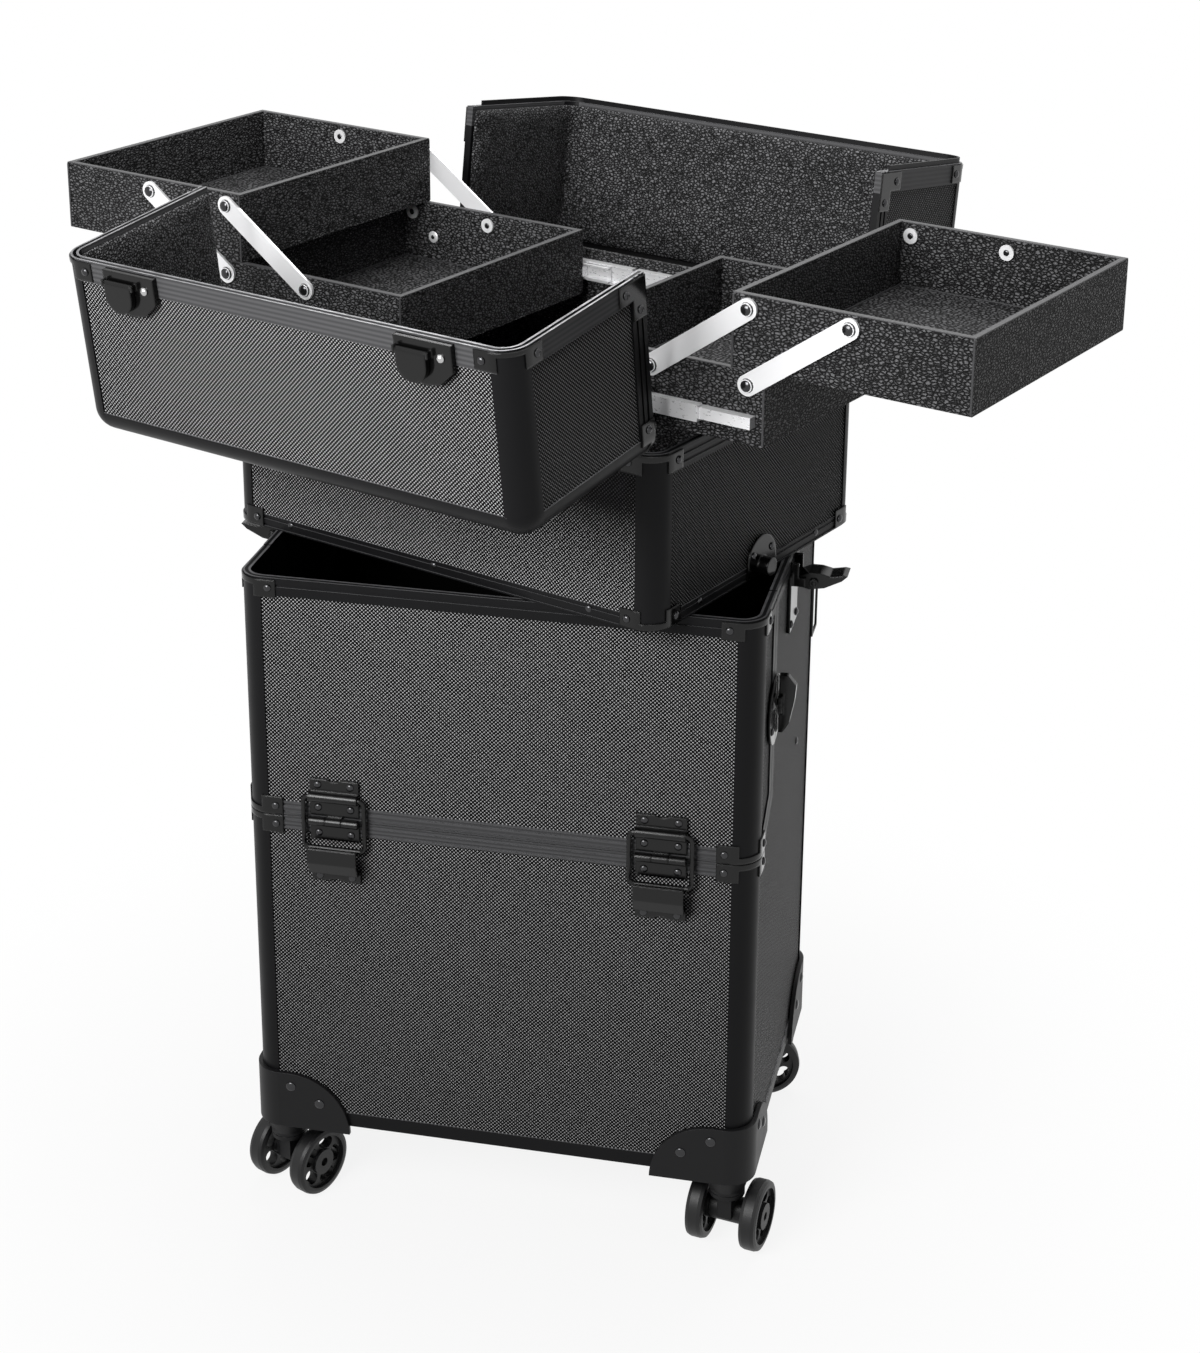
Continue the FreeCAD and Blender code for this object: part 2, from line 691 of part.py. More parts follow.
BAIL_Y = f"(-{HALF_Y} - bail_wire - bail_gap - leaf_thick)"
BAIL_Z = f"({SEAM} + bail_above)"


def strap(middle):
    """Door strap of a stop hinge: a riveted plate whose lower edge is curled round the bail."""
    run = (f"{middle} - hinge_wide / 2", f"{middle} + hinge_wide / 2")
    curl = "bail_wire + bail_gap + leaf_thick"
    sheet_y = (f"-{HALF_Y} - leaf_thick", f"-{HALF_Y}")
    flat = block(run, sheet_y, (BAIL_Z, f"{BAIL_Z} + strap_tall"))
    tube = rod("x", curl, run, (BAIL_Y, BAIL_Z))
    bore = rod("x", "bail_wire + bail_gap", run, (BAIL_Y, BAIL_Z))
    return cut(fuse([flat, tube]), [bore, notch(middle, f"{BAIL_Z} + strap_tall - notch_deep + notch_round")])


node("door_brackets", door_brackets)
door_fittings = []
for middle in HINGE_MIDDLES:
    door_fittings.append(leaf(middle, -1, HALF_Y, "hinge_out", SEAM, 1, MIDDLE_KNUCKLE, True))
    door_fittings.append(strap(middle))
for side in (-1, 1):
    door_fittings.append(turn_latch_dish(side, (f"{SEAM_FRONT} - turn_latch_tall", SEAM_FRONT)))
node("door_fittings", door_fittings)
node("door_bails", [wire_loop(middle, BAIL_Z, "bail_above + bail_below", "bail_wide", "bail_wire", BAIL_Y,
                              "bail_bend") for middle in HINGE_MIDDLES])

# Butterfly rotors: a disc on the base's stud with a fin to turn it by


def turn_latch(side):
    low = HALF_X + " + leaf_thick + arm_gap"
    high = low + " + rotor_thick"
    disc = rod("x", "rotor_round", span(side, low, high), (TURN_Y, TURN_Z))
    fin = [
        (low, "wing_long / 2"),
        (high + " + wing_tall / 3", "wing_long / 2"),
        (high + " + wing_tall", "wing_long / 3"),
        (high + " + wing_tall * 9 / 10", "wing_long / 12"),
        (high + " + wing_tall / 2", "(-wing_long / 3)"),
        (high, "(-wing_long / 2)"),
        (low, "(-wing_long / 2)"),
    ]
    wings = plate([(signed(side, x), f"{TURN_Z} + {z}") for x, z in fin], "xz",
                  f"{TURN_Y} - wing_wide / 2", f"{TURN_Y} + wing_wide / 2")
    bore = rod("x", "pivot_round + pin_gap", span(side, HALF_X, high), (TURN_Y, TURN_Z))
    return cut(fuse([disc, wings]), [bore])


for name, side in (("left", -1), ("right", 1)):
    node(f"door_latch_{name}", [turn_latch(side)])

# Draw latch levers, swung open, each with a wire bail hanging from it

lever_outline = [
    ("-lever_thick * 4 / 5", "-lever_thick / 2"),
    ("lever_thick", "-lever_thick"),
    ("lever_long / 2", "-lever_thick * 2 / 3"),
    ("lever_long * 3 / 4", "lever_thick / 10"),
    ("lever_long * 7 / 8", "lever_rise * 2 / 5"),
    ("lever_long", "lever_rise"),
    ("lever_long * 9 / 10", "lever_rise + lever_thick / 10"),
    ("lever_long * 5 / 8", "lever_thick"),
    ("lever_long * 2 / 5", "lever_thick * 4 / 3"),
    ("lever_thick", "lever_thick * 4 / 3"),
    ("-lever_thick * 4 / 5", "lever_thick / 2"),
]


def lever(side):
    outline = [(f"{LEVER_X} + {x}", f"{LEVER_Z} + {z}") for x, z in lever_outline]
    beak = plate(outline, "xz", "-lever_wide / 2", "lever_wide / 2")
    bore = rod("y", "lever_pin + pin_gap", both("lever_wide"), (LEVER_X, LEVER_Z))
    hook = rod("y", "lever_pin", both("end_bail_wide / 2"), (f"{LEVER_X} + end_bail_out", f"{LEVER_Z}"))
    piece = fuse([cut(beak, [bore]), hook])
    return piece if side > 0 else mirror(piece, Vector(1, 0, 0))


def end_bail(side):
    """A hairpin of wire: two eyes on the lever's hook pin and a bar below."""
    line = f"{LEVER_X} + end_bail_out"
    low = f"{LEVER_Z} - end_bail_long"
    pieces = []
    for y in (-1, 1):
        eye_run = span(y, "lever_wide / 2 + arm_gap", "end_bail_wide / 2")
        middle = signed(y, "(lever_wide / 2 + arm_gap + end_bail_wide / 2) / 2")
        ring = rod("y", "lever_pin * 2", eye_run, (line, LEVER_Z))
        leg = block((f"{line} - lever_pin / 2", f"{line} + lever_pin / 2"), eye_run,
                    (low, f"{LEVER_Z} - lever_pin * 1.5"))
        pieces.append(fuse([ring, leg]))
    foot = block((f"{line} - lever_pin / 2", f"{line} + lever_pin / 2"), both("end_bail_wide / 2"),
                 (f"{low} - lever_pin", low))
    bore = rod("y", "lever_pin + pin_gap", both("end_bail_wide"), (line, LEVER_Z))
    piece = cut(fuse([*pieces, foot]), [bore])
    return piece if side > 0 else mirror(piece, Vector(1, 0, 0))


for name, side in (("left", -1), ("right", 1)):
    node(f"end_latch_lever_{name}", [lever(side)])
    node(f"end_latch_bail_{name}", [end_bail(side)])

# Casters: each is drawn about its own stem and set under its corner, turned as it was left standing


def caster_frame(side_x, side_y, turn):
    x = signed(side_x, POST_X)
    y = signed(side_y, POST_Y)
    return f"placement(vector({x}; {y}; 0); rotation(vector(0; 0; 1); {turn}))"


HUB_Z = "wheel_round"
NECK_Z = "(ride_height - socket_tall)"


def fork():
    """Stem, thrust collar and the hub housing that trails behind the stem between the wheels."""
    half = "(wheel_apart / 2 - wheel_wide / 2 - arm_gap)"
    stem = rod("z", "stem_round", (NECK_Z, "ride_height - guard_wall - arm_gap"), ("0", "0"))
    collar = rod("z", "socket_round", (f"{NECK_Z} - arm_gap - guard_wall", f"{NECK_Z} - arm_gap"), ("0", "0"))
    joint = rod("z", "stem_round", (f"{NECK_Z} - guard_wall", NECK_Z), ("0", "0"))
    neck = block(both("web_wide"), ("-web_wide", "wheel_trail + web_wide"), (HUB_Z, f"{NECK_Z} - guard_wall"))
    hub = rod("x", "hub_round", both(half), ("wheel_trail", HUB_Z))
    bore = rod("x", "axle_round + stem_gap", both("wheel_apart"), ("wheel_trail", HUB_Z))
    return cut(fuse([stem, joint, collar, neck, hub]), [bore])


def wheel():
    """A wheel turned with a bevelled tread, a rim ring and a thinner web with five oval openings."""
    face = "(wheel_wide / 2)"
    ring = "wheel_round - ring_deep"
    half_profile = [
        (face, "axle_round"),
        (face, "hub_round"),
        (f"{face} - web_dish", "hub_round"),
        (f"{face} - web_dish", ring),
        (face, ring),
        (face, "wheel_round - tread_bevel"),
        (f"{face} - tread_bevel / 4", "wheel_round - tread_bevel / 4"),
        (f"{face} - tread_bevel", "wheel_round"),
    ]
    profile = [(f"wheel_apart / 2 + {x}", radius) for x, radius in half_profile]
    profile += [(f"wheel_apart / 2 - ({x})", radius) for x, radius in reversed(half_profile)]
    run = (f"wheel_apart / 2 - {face}", f"wheel_apart / 2 + {face}")
    spread = "spoke_gap_long / spoke_gap_ring * 90 / pi"
    gaps = []
    for step in range(5):
        for along in "-+":
            angle = f"({72 * step} {along} {spread})"
            place = (f"wheel_trail + spoke_gap_ring * cos({angle})",
                     f"{HUB_Z} + spoke_gap_ring * sin({angle})")
            gaps.append(rod("x", "spoke_gap_round", run, place))
    return cut(turned(profile, ("0", "wheel_trail", HUB_Z)), gaps)


def wheel_pair():
    axle = rod("x", "axle_round", both("wheel_apart / 2 + wheel_wide / 2 - web_dish"), ("wheel_trail", HUB_Z))
    right_wheel = wheel()
    return [axle, right_wheel, mirror(right_wheel, Vector(1, 0, 0))]


CORNERS = (("front_left", -1, -1), ("front_right", 1, -1), ("rear_left", -1, 1), ("rear_right", 1, 1))
for name, side_x, side_y in CORNERS:
    frame = caster_frame(side_x, side_y, f"caster_angle_{name}")
    node(f"caster_fork_{name}", [fork()], frame)
    node(f"caster_wheels_{name}", wheel_pair(), frame)

# Top case, drawn in its own frame: Z starts at its underside, and it is set askew on the trolley's rim

TOP = ("placement(vector(top_shift_x; top_shift_y; ride_height + trolley_height); "
       "rotation(vector(0; 0; 1); top_yaw))")
TOP_X = "top_width / 2"
TOP_Y = "top_depth / 2"
TPOST_X = "(top_width / 2 - corner_round)"
TPOST_Y = "(top_depth / 2 - corner_round)"
TOP_RIM = ("top_height - rim_tall", "top_height")
BASE_RISE = ("0", "base_rail")
WALL_RISE = ("base_rail", "top_height - rim_tall")

FLOOR_RISE = ("0", "panel_thick")
node("case_floor", [fuse([block(both(TPOST_X), both(TOP_Y + " - rim_deep"), FLOOR_RISE),
                          block(both(TOP_X + " - rim_deep"), both(TPOST_Y), FLOOR_RISE)])], TOP)
node("case_long_panels", [block(both(TPOST_X), panel_range(side, TOP_Y), WALL_RISE) for side in (-1, 1)], TOP)
node("case_end_panels", [block(panel_range(side, TOP_X), both(TPOST_Y), WALL_RISE) for side in (-1, 1)], TOP)

case_frame = []
case_brackets = []
for side in (-1, 1):
    post = signed(side, TPOST_X)
    case_frame += [
        rail("x", side, TOP_Y, both(TPOST_X), BASE_RISE),
        rail("y", side, TOP_X, both(TPOST_Y), BASE_RISE),
        rail("x", side, TOP_Y, both(TPOST_X), TOP_RIM),
        rail("y", side, TOP_X, both(TPOST_Y), TOP_RIM),
    ]
    for end in (-1, 1):
        case_frame.append(quarter("z", (side, end), ("0", "top_height - rim_tall"),
                                  (post, signed(end, TPOST_Y))))
        case_frame.append(rim_corner((side, end), TOP_X, TOP_Y, TOP_RIM))
        case_brackets.append(bracket((side, end), TOP_X, TOP_Y, ("bracket_thick", "bracket_tall"), -1))
        case_brackets.append(bracket((side, end), TOP_X, TOP_Y,
                                     ("top_height - bracket_tall", "top_height - bracket_thick"), 1))
node("case_frame", case_frame, TOP)
node("case_brackets", case_brackets, TOP)


def catch(side):
    """End catch: a plate with a rounded head and the knob that a draw latch's bail hooks."""
    skin = span(side, TOP_X, TOP_X + " + leaf_thick")
    board = block(skin, both("catch_wide / 2"), ("catch_low", "catch_low + catch_tall - catch_wide / 2"))
    disc = rod("x", "catch_wide / 2", skin, ("0", "catch_low + catch_tall - catch_wide / 2"))
    head = cut(disc, [block(skin, both("catch_wide"), ("-catch_wide", "catch_low"))])
    knob = rod("x", "knob_round", span(side, TOP_X, TOP_X + " + knob_long"), ("0", "catch_low + knob_round"))
    return fuse([board, head, knob])


LID_AXIS = "lid_hinge_out"
LID_ROLL = ("lid_knuckle_round", "lid_pin_round")
LID_HINGES = both("(top_width / 2 - lid_hinge_inset)")
case_fittings = [catch(side) for side in (-1, 1)]
for middle in LID_HINGES:
    for side in (-1, 1):
        case_fittings.append(leaf(middle, side, TOP_Y, LID_AXIS, "top_height", -1, END_KNUCKLES, False,
                                  *LID_ROLL))
node("case_fittings", case_fittings, TOP)

# Support boards and the fixed channels of the four slides

TRAY_Y = "tray_depth / 2"
BOARD_FACE = "(tray_depth / 2 + slide_room)"


def support_board(side):
    """A covered board against the long wall; above the rim it is thinner, to clear the lid's lining."""
    seat = block(both(TPOST_X), span(side, BOARD_FACE, f"{TOP_Y} {PANEL[0]}"), ("corner_round", "top_height"))
    upper = block(both(TPOST_X), span(side, BOARD_FACE, f"{TOP_Y} {PANEL[0]} - lining_thick - arm_gap"),
                  ("corner_round", "top_height + board_top"))
    return fuse([seat, upper])


node("support_boards", [support_board(side) for side in (-1, 1)], TOP)

SLIDE_Z = "(top_height + tray_lift + slide_high)"


def channel(side_x, side_y, start, tall, back, front):
    """A rolled channel along X that opens towards the tray."""
    run = span(side_x, start, f"{start} + slide_long")
    web = block(run, span(side_y, front, back), (f"{SLIDE_Z} - {tall} / 2", f"{SLIDE_Z} + {tall} / 2"))
    hollow = block(run, span(side_y, front, f"{back} - slide_sheet"),
                   (f"{SLIDE_Z} - {tall} / 2 + slide_sheet", f"{SLIDE_Z} + {tall} / 2 - slide_sheet"))
    return cut(web, [hollow])


CLOSED = "tray_split / 2"
FIXED_BACK = BOARD_FACE
MID_BACK = f"({BOARD_FACE} - slide_sheet - slide_gap)"
MID_TALL = "(slide_tall - 2 * slide_sheet - 2 * slide_gap)"
BAR_BACK = f"({BOARD_FACE} - 2 * slide_sheet - 2 * slide_gap)"
BAR_TALL = "(slide_tall - 4 * slide_sheet - 4 * slide_gap)"
FIXED_FRONT = f"({BOARD_FACE} - slide_room / 2)"
MID_FRONT = f"({BOARD_FACE} - slide_room * 3 / 4)"
node("slide_fixed_channels", [channel(side_x, side_y, CLOSED, "slide_tall", FIXED_BACK, FIXED_FRONT)
                              for side_x in (-1, 1) for side_y in (-1, 1)], TOP)

# Half lids, drawn closed about their hinge line: Y runs from the hinge to the middle, Z up

LIDS = {
    "front": TOP + f" * placement(vector(0; -{TOP_Y} - {LID_AXIS}; top_height); "
                   "rotation(vector(1; 0; 0); front_lid_angle))",
    "rear": TOP + f" * placement(vector(0; {TOP_Y} + {LID_AXIS}; top_height); rotation(vector(0; 0; 1); 180))"
                  " * placement(vector(0; 0; 0); rotation(vector(1; 0; 0); rear_lid_angle))",
}
LID_FACE = LID_AXIS
LID_POST = f"({LID_AXIS} + corner_round)"
LID_RIM = ("lid_gap", "lid_gap + rim_tall")
LID_EDGE = "(lid_height - corner_round)"


def lid_split(name):
    """Where a lid's open rim ends, in the middle of the case."""
    return f"({LID_AXIS} + {name}_lid_depth)"


def lid_ends(name):
    return LID_POST, f"{lid_split(name)} - rim_tall"


def lid_ball(side):
    """Rounded outer corner of a lid, where three edge profiles meet."""
    balls = []
    for radius in ("corner_round", "corner_round - frame_wall"):
        ball = doc.addObject("Part::Sphere", "ball")
        bind(ball, Radius=radius)
        ball.Angle1 = 0
        ball.Angle3 = 90
        turn = Rotation(Vector(0, 0, 1), 180 if side < 0 else 270)
        balls.append(put(ball, (signed(side, TPOST_X), LID_POST, LID_EDGE), turn))
    return cut(balls[0], balls[1:])


def rim_line(run, wide):
    """A strip along the middle of an open rim's edge, round both corners."""
    low = f"rim_deep / 2 + {wide} / 2"
    high = f"rim_deep / 2 - {wide} / 2"
    strips = [block(both(TPOST_X), run, (f"lid_height - ({low})", f"lid_height - ({high})"))]
    for side in (-1, 1):
        strips.append(block(span(side, f"{TOP_X} - ({low})", f"{TOP_X} - ({high})"), run,
                            ("lid_gap + rim_tall", LID_EDGE)))
        strips.append(quarter("y", (1, side), run, (LID_EDGE, signed(side, TPOST_X)),
                              f"corner_round - ({high})", wide))
    return fuse(strips)


def lid_frame(name):
    """Edge profiles of one lid; the rear lid's rim has a tongue that closes into the front lid's groove."""
    split = lid_split(name)
    end = (f"{split} - rim_tall", split)
    open_rim = [block(both(TPOST_X), end, ("lid_height - rim_deep", "lid_height"))]
    pieces = [
        quarter("x", (-1, 1), both(TPOST_X), (LID_POST, LID_EDGE)),
        rail("x", -1, f"(-{LID_FACE})", both(TPOST_X), LID_RIM),
    ]
    for side in (-1, 1):
        post = signed(side, TPOST_X)
        pieces += [
            lid_ball(side),
            quarter("z", (side, -1), ("lid_gap + rim_tall", LID_EDGE), (post, LID_POST)),
            quarter("z", (side, -1), LID_RIM, (post, LID_POST), wall="rim_deep"),
            rail("y", side, TOP_X, (LID_POST, split), LID_RIM),
        ]
        open_rim += [
            quarter("y", (1, side), (LID_POST, split), (LID_EDGE, post), wall="rim_deep"),
            block(span(side, TOP_X + " - rim_deep", TOP_X), end, ("lid_gap + rim_tall", LID_EDGE)),
        ]
    if name == "front":
        groove = rim_line((f"{split} - groove_deep", split), "groove_wide")
        open_rim = [cut(piece, [groove]) for piece in open_rim]
    else:
        open_rim.append(rim_line((split, f"{split} + tongue_long"), "tongue_wide"))
    return pieces + open_rim


def lid_brackets(name):
    """Pressed corners of one lid: round its open rim, flat at its ends, and round the hinge-side posts."""
    split = lid_split(name)
    tab_run = (f"{split} - bracket_tall", f"{split} - bracket_thick")
    band_run = (f"{split} - bracket_band", f"{split} - bracket_thick")
    rim_rise = ("lid_gap", "lid_gap + bracket_tall")
    pieces = []
    for side in (-1, 1):
        post = signed(side, TPOST_X)
        skin = span(side, TOP_X, f"{TOP_X} + bracket_thick")
        tab_x = span(side, f"{TPOST_X} - bracket_reach", TPOST_X)
        pieces.append(fuse([
            *wrap("y", (1, side), tab_run, band_run, (LID_EDGE, post)),
            block(tab_x, tab_run, ("lid_height", "lid_height + bracket_thick")),
            block(skin, tab_run, (f"{LID_EDGE} - bracket_reach", LID_EDGE)),
        ]))
        pieces.append(fuse([
            block(skin, tab_run, ("lid_gap", "lid_gap + 2 * bracket_tall")),
            block(skin, (f"{split} - 2 * bracket_tall", tab_run[1]), rim_rise),
        ]))
        pieces.append(fuse([
            *wrap("z", (side, -1), rim_rise, ("lid_gap", "lid_gap + bracket_band"), (post, LID_POST)),
            block(tab_x, (f"{LID_FACE} - bracket_thick", LID_FACE), rim_rise),
            block(skin, (LID_POST, f"{LID_POST} + bracket_reach"), rim_rise),
        ]))
    return pieces


def lid_panels(name):
    ends = lid_ends(name)
    rise = ("lid_gap + rim_tall", LID_EDGE)
    return [
        block(both(TPOST_X), ends, ("lid_height - panel_recess - panel_thick", "lid_height - panel_recess")),
        block(both(TPOST_X), (f"{LID_FACE} + panel_recess", f"{LID_FACE} + panel_recess + panel_thick"),
              rise),
        *(block(panel_range(side, TOP_X), ends, rise) for side in (-1, 1)),
    ]


def lid_lining(name):
    """Padded leather on the inner faces of the four boards."""
    ends = lid_ends(name)
    skin = "panel_recess + panel_thick"
    rise = ("lid_gap + rim_tall", LID_EDGE)
    return [
        block(both(TPOST_X), ends, (f"lid_height - {skin.replace('+', '-')} - lining_thick",
                                    f"lid_height - {skin.replace('+', '-')}")),
        block(both(TPOST_X), (f"{LID_FACE} + {skin}", f"{LID_FACE} + {skin} + lining_thick"), rise),
        *(block(span(side, f"{TOP_X} {PANEL[0]} - lining_thick", f"{TOP_X} {PANEL[0]}"), ends, rise)
          for side in (-1, 1)),
    ]


for name, frame in LIDS.items():
    node(f"{name}_lid_panels", lid_panels(name), frame)
    node(f"{name}_lid_frame", lid_frame(name), frame)
    node(f"{name}_lid_lining", lid_lining(name), frame)

# Thumb latches of the front lid, beside its open rim

LATCH_MIDDLES = dict(zip(("left", "right"), both("(top_width / 2 - lid_latch_inset)")))
LATCH_EDGE = lid_split("front")
THUMB_Y = f"({LATCH_EDGE} - thumb_thick * 2)"
THUMB_Z = "(lid_height + lid_latch_thick + thumb_thick / 2)"


def thumb_base(middle):
    """A plate with a bowed lower edge, and two ears with a pin for the thumb piece."""
    half_outline = [
        ("lid_latch_wide / 2", f"{LATCH_EDGE} - panel_recess"),
        ("lid_latch_wide / 2", f"{LATCH_EDGE} - lid_latch_tall * 5 / 8"),
        ("lid_latch_wide / 4", f"{LATCH_EDGE} - lid_latch_tall * 15 / 16"),
    ]
    whole = [(f"{middle} + {x}", y) for x, y in half_outline]
    whole.append((middle, f"{LATCH_EDGE} - lid_latch_tall"))
    whole += [(f"{middle} - {x}", y) for x, y in reversed(half_outline)]
    pieces = [plate(whole, "xy", "lid_height", "lid_height + lid_latch_thick")]
    middle = f"{middle} + thumb_shift"
    reach = "(thumb_wide / 2 + arm_gap + leaf_thick)"
    for side in (-1, 1):
        near, far = span(side, "thumb_wide / 2 + arm_gap", reach)
        pieces.append(block((f"{middle} + {near}", f"{middle} + {far}"),
                            (f"{THUMB_Y} - thumb_thick / 2", f"{THUMB_Y} + thumb_thick / 2"),
                            ("lid_height", f"{THUMB_Z} + thumb_thick / 2")))
    pieces.append(rod("x", "pin_round", (f"{middle} - {reach}", f"{middle} + {reach}"), (THUMB_Y, THUMB_Z)))
    return fuse(pieces)


def thumb(middle):
    """A round-ended thumb piece on a rolled barrel."""
    middle = f"{middle} + thumb_shift"
    run = (f"{middle} - thumb_wide / 2", f"{middle} + thumb_wide / 2")
    rise = (f"{THUMB_Z} - thumb_thick / 2 + arm_gap", f"{THUMB_Z} + thumb_thick / 2")
    tip = f"{THUMB_Y} - thumb_long + thumb_wide / 2"
    barrel = rod("x", "thumb_thick / 2 - arm_gap / 2", run, (THUMB_Y, THUMB_Z))
    bore = rod("x", "pin_round + pin_gap", run, (THUMB_Y, THUMB_Z))
    round_end = common(rod("z", "thumb_wide / 2", rise, (middle, tip)),
                       block(run, (f"{tip} - thumb_wide", tip), rise))
    flap = [block(run, (tip, THUMB_Y), rise), round_end]
    return cut(fuse([*flap, barrel]), [bore])


for name, frame in LIDS.items():
    fittings = [leaf(middle, -1, f"(-{LID_FACE})", LID_AXIS, "0", 1, MIDDLE_KNUCKLE, True, *LID_ROLL)
                for middle in LID_HINGES]
    fittings += lid_brackets(name)
    if name == "front":
        fittings += [thumb_base(middle) for middle in LATCH_MIDDLES.values()]
    node(f"{name}_lid_fittings", fittings, frame)
for name, middle in LATCH_MIDDLES.items():
    node(f"front_lid_latch_{name}", [thumb(middle)], LIDS["front"])

# Trays: leather boxes with pivot holes; the left side is the right side mirrored, drawn out less

ARM_RUN = "sqrt(arm_long ^ 2 - arm_lift ^ 2)"
LOWER_Z = "(top_height + tray_lift)"
UPPER_Z = "(top_height + tray_lift + arm_lift)"
PIVOT_Z = f"({LOWER_Z} + tray_height - pivot_below)"


def tray(side, start, low, pivots):
    run = span(side, start, f"{start} + tray_length")
    outer = block(run, both(TRAY_Y), (low, f"{low} + tray_height"))
    inner = block(span(side, f"{start} + tray_wall", f"{start} + tray_length - tray_wall"),
                  both(f"{TRAY_Y} - tray_wall"), (f"{low} + tray_wall", f"{low} + tray_height"))
    holes = []
    for pivot in pivots:
        x = signed(side, pivot)
        for end in (-1, 1):
            holes.append(rod("y", "pivot_round + pin_gap", span(end, f"{TRAY_Y} - tray_wall", TRAY_Y),
                             (x, f"{low} + tray_height - pivot_below")))
    return cut(outer, [inner, *holes])


def arm_pair(side, pivot):
    """Front and rear arm of one pivot line, each with a headed pin through the wall of both trays."""
    pieces = []
    skin = (f"{TRAY_Y} + arm_gap", f"{TRAY_Y} + arm_gap + arm_thick")
    slope = "asin(arm_lift / arm_long)"
    ends = ((pivot, PIVOT_Z), (f"{pivot} + {ARM_RUN}", f"{PIVOT_Z} + arm_lift"))
    for end in (-1, 1):
        bar = doc.addObject("Part::Box", "bar")
        bind(bar, Length="arm_long", Width="arm_thick", Height="arm_wide")
        y = span(end, *skin)[0]
        x = signed(side, pivot)
        back = "0" if side > 0 else "-arm_long"
        bar.setExpression("Placement", formula(
            f"placement(vector({x}; {y}; {PIVOT_Z}); rotation(vector(0; {-side}; 0); {slope}))"
            f" * placement(vector({back}; 0; -arm_wide / 2); rotation(vector(0; 0; 1); 0))"))
        arm = [bar]
        for place_x, place_z in ends:
            at = (signed(side, place_x), place_z)
            arm.append(rod("y", "arm_wide / 2", span(end, *skin), at))
            arm.append(rod("y", "head_round", span(end, skin[1], f"{skin[1]} + head_thick"), at))
            arm.append(rod("y", "pivot_round", span(end, f"{TRAY_Y} - tray_wall - arm_gap", skin[1]), at))
            arm.append(rod("y", "washer_round", span(end, f"{TRAY_Y} - tray_wall - arm_gap - slide_sheet",
                                                     f"{TRAY_Y} - tray_wall - arm_gap"), at))
        pieces.append(fuse(arm))
    return pieces


for name, side in (("left", -1), ("right", 1)):
    start = f"({CLOSED} + {name}_drawn)"
    half_way = f"({CLOSED} + {name}_drawn / 2)"
    outer_pivot = f"({start} + tray_length - pivot_inset)"
    inner_pivot = f"({outer_pivot} - pivot_apart)"
    upper_start = f"({inner_pivot} + {ARM_RUN} - pivot_inset)"
    node(f"{name}_lower_tray", [tray(side, start, LOWER_Z, (inner_pivot, outer_pivot))], TOP)
    upper_pivots = (f"{inner_pivot} + {ARM_RUN}", f"{outer_pivot} + {ARM_RUN}")
    node(f"{name}_upper_tray", [tray(side, upper_start, UPPER_Z, upper_pivots)], TOP)
    node(f"{name}_slide_bars", [block(span(side, start, f"{start} + slide_long"), span(end, TRAY_Y, BAR_BACK),
                                      (f"{SLIDE_Z} - {BAR_TALL} / 2", f"{SLIDE_Z} + {BAR_TALL} / 2"))
                                for end in (-1, 1)], TOP)
    node(f"{name}_slide_channels", [channel(side, end, half_way, MID_TALL, MID_BACK, MID_FRONT)
                                    for end in (-1, 1)], TOP)
    node(f"{name}_inner_arms", arm_pair(side, inner_pivot), TOP)
    node(f"{name}_outer_arms", arm_pair(side, outer_pivot), TOP)

doc.recompute()

failed = [thing.Name for thing in doc.Objects if {"Invalid", "Error"} & set(thing.State)]
if failed:
    raise RuntimeError("not built: " + ", ".join(failed))
for group in nodes:
    if group.Shape.isNull() or not group.Shape.isValid():
        raise RuntimeError("not a sound shape: " + group.Label)

os.makedirs("parts", exist_ok=True)
for group in nodes:
    group.Shape.exportStep(f"parts/{group.Label}.step")
print(len(nodes), "nodes,", sum(len(group.Shape.Solids) for group in nodes), "solids")
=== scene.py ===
import json
import math
import bmesh
import bpy
from mathutils import Matrix, Quaternion, Vector


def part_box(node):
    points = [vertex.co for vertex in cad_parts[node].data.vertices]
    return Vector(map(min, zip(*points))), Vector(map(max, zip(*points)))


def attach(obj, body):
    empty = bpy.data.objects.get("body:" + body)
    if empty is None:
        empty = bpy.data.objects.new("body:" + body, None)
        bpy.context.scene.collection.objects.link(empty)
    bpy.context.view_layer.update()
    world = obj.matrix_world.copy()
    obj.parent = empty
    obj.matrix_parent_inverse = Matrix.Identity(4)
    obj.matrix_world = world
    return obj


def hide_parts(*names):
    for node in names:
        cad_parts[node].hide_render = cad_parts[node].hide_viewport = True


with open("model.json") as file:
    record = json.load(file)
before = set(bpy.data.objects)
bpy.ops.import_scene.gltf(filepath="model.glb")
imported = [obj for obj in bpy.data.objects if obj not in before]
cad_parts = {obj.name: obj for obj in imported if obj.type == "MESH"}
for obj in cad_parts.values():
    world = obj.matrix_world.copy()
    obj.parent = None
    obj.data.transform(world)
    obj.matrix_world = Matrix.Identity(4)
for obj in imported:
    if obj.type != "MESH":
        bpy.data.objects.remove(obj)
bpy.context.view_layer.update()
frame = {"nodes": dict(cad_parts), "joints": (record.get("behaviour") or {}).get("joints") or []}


# Studio: a white floor and a white surround, lit by a soft box close on the front left, one overhead and
# a strip behind. Floor and surround are white to the eye and to gloss, and dimmer as lights; near the
# object the floor's white gives way to its shadow.
def reckon(tree, operation, *values):
    """One Math node; each value is a number or another node's output."""
    node = tree.nodes.new("ShaderNodeMath")
    node.operation = operation
    for socket, value in zip(node.inputs, values):
        if isinstance(value, bpy.types.NodeSocket):
            tree.links.new(value, socket)
        else:
            socket.default_value = value
    return node.outputs[0]


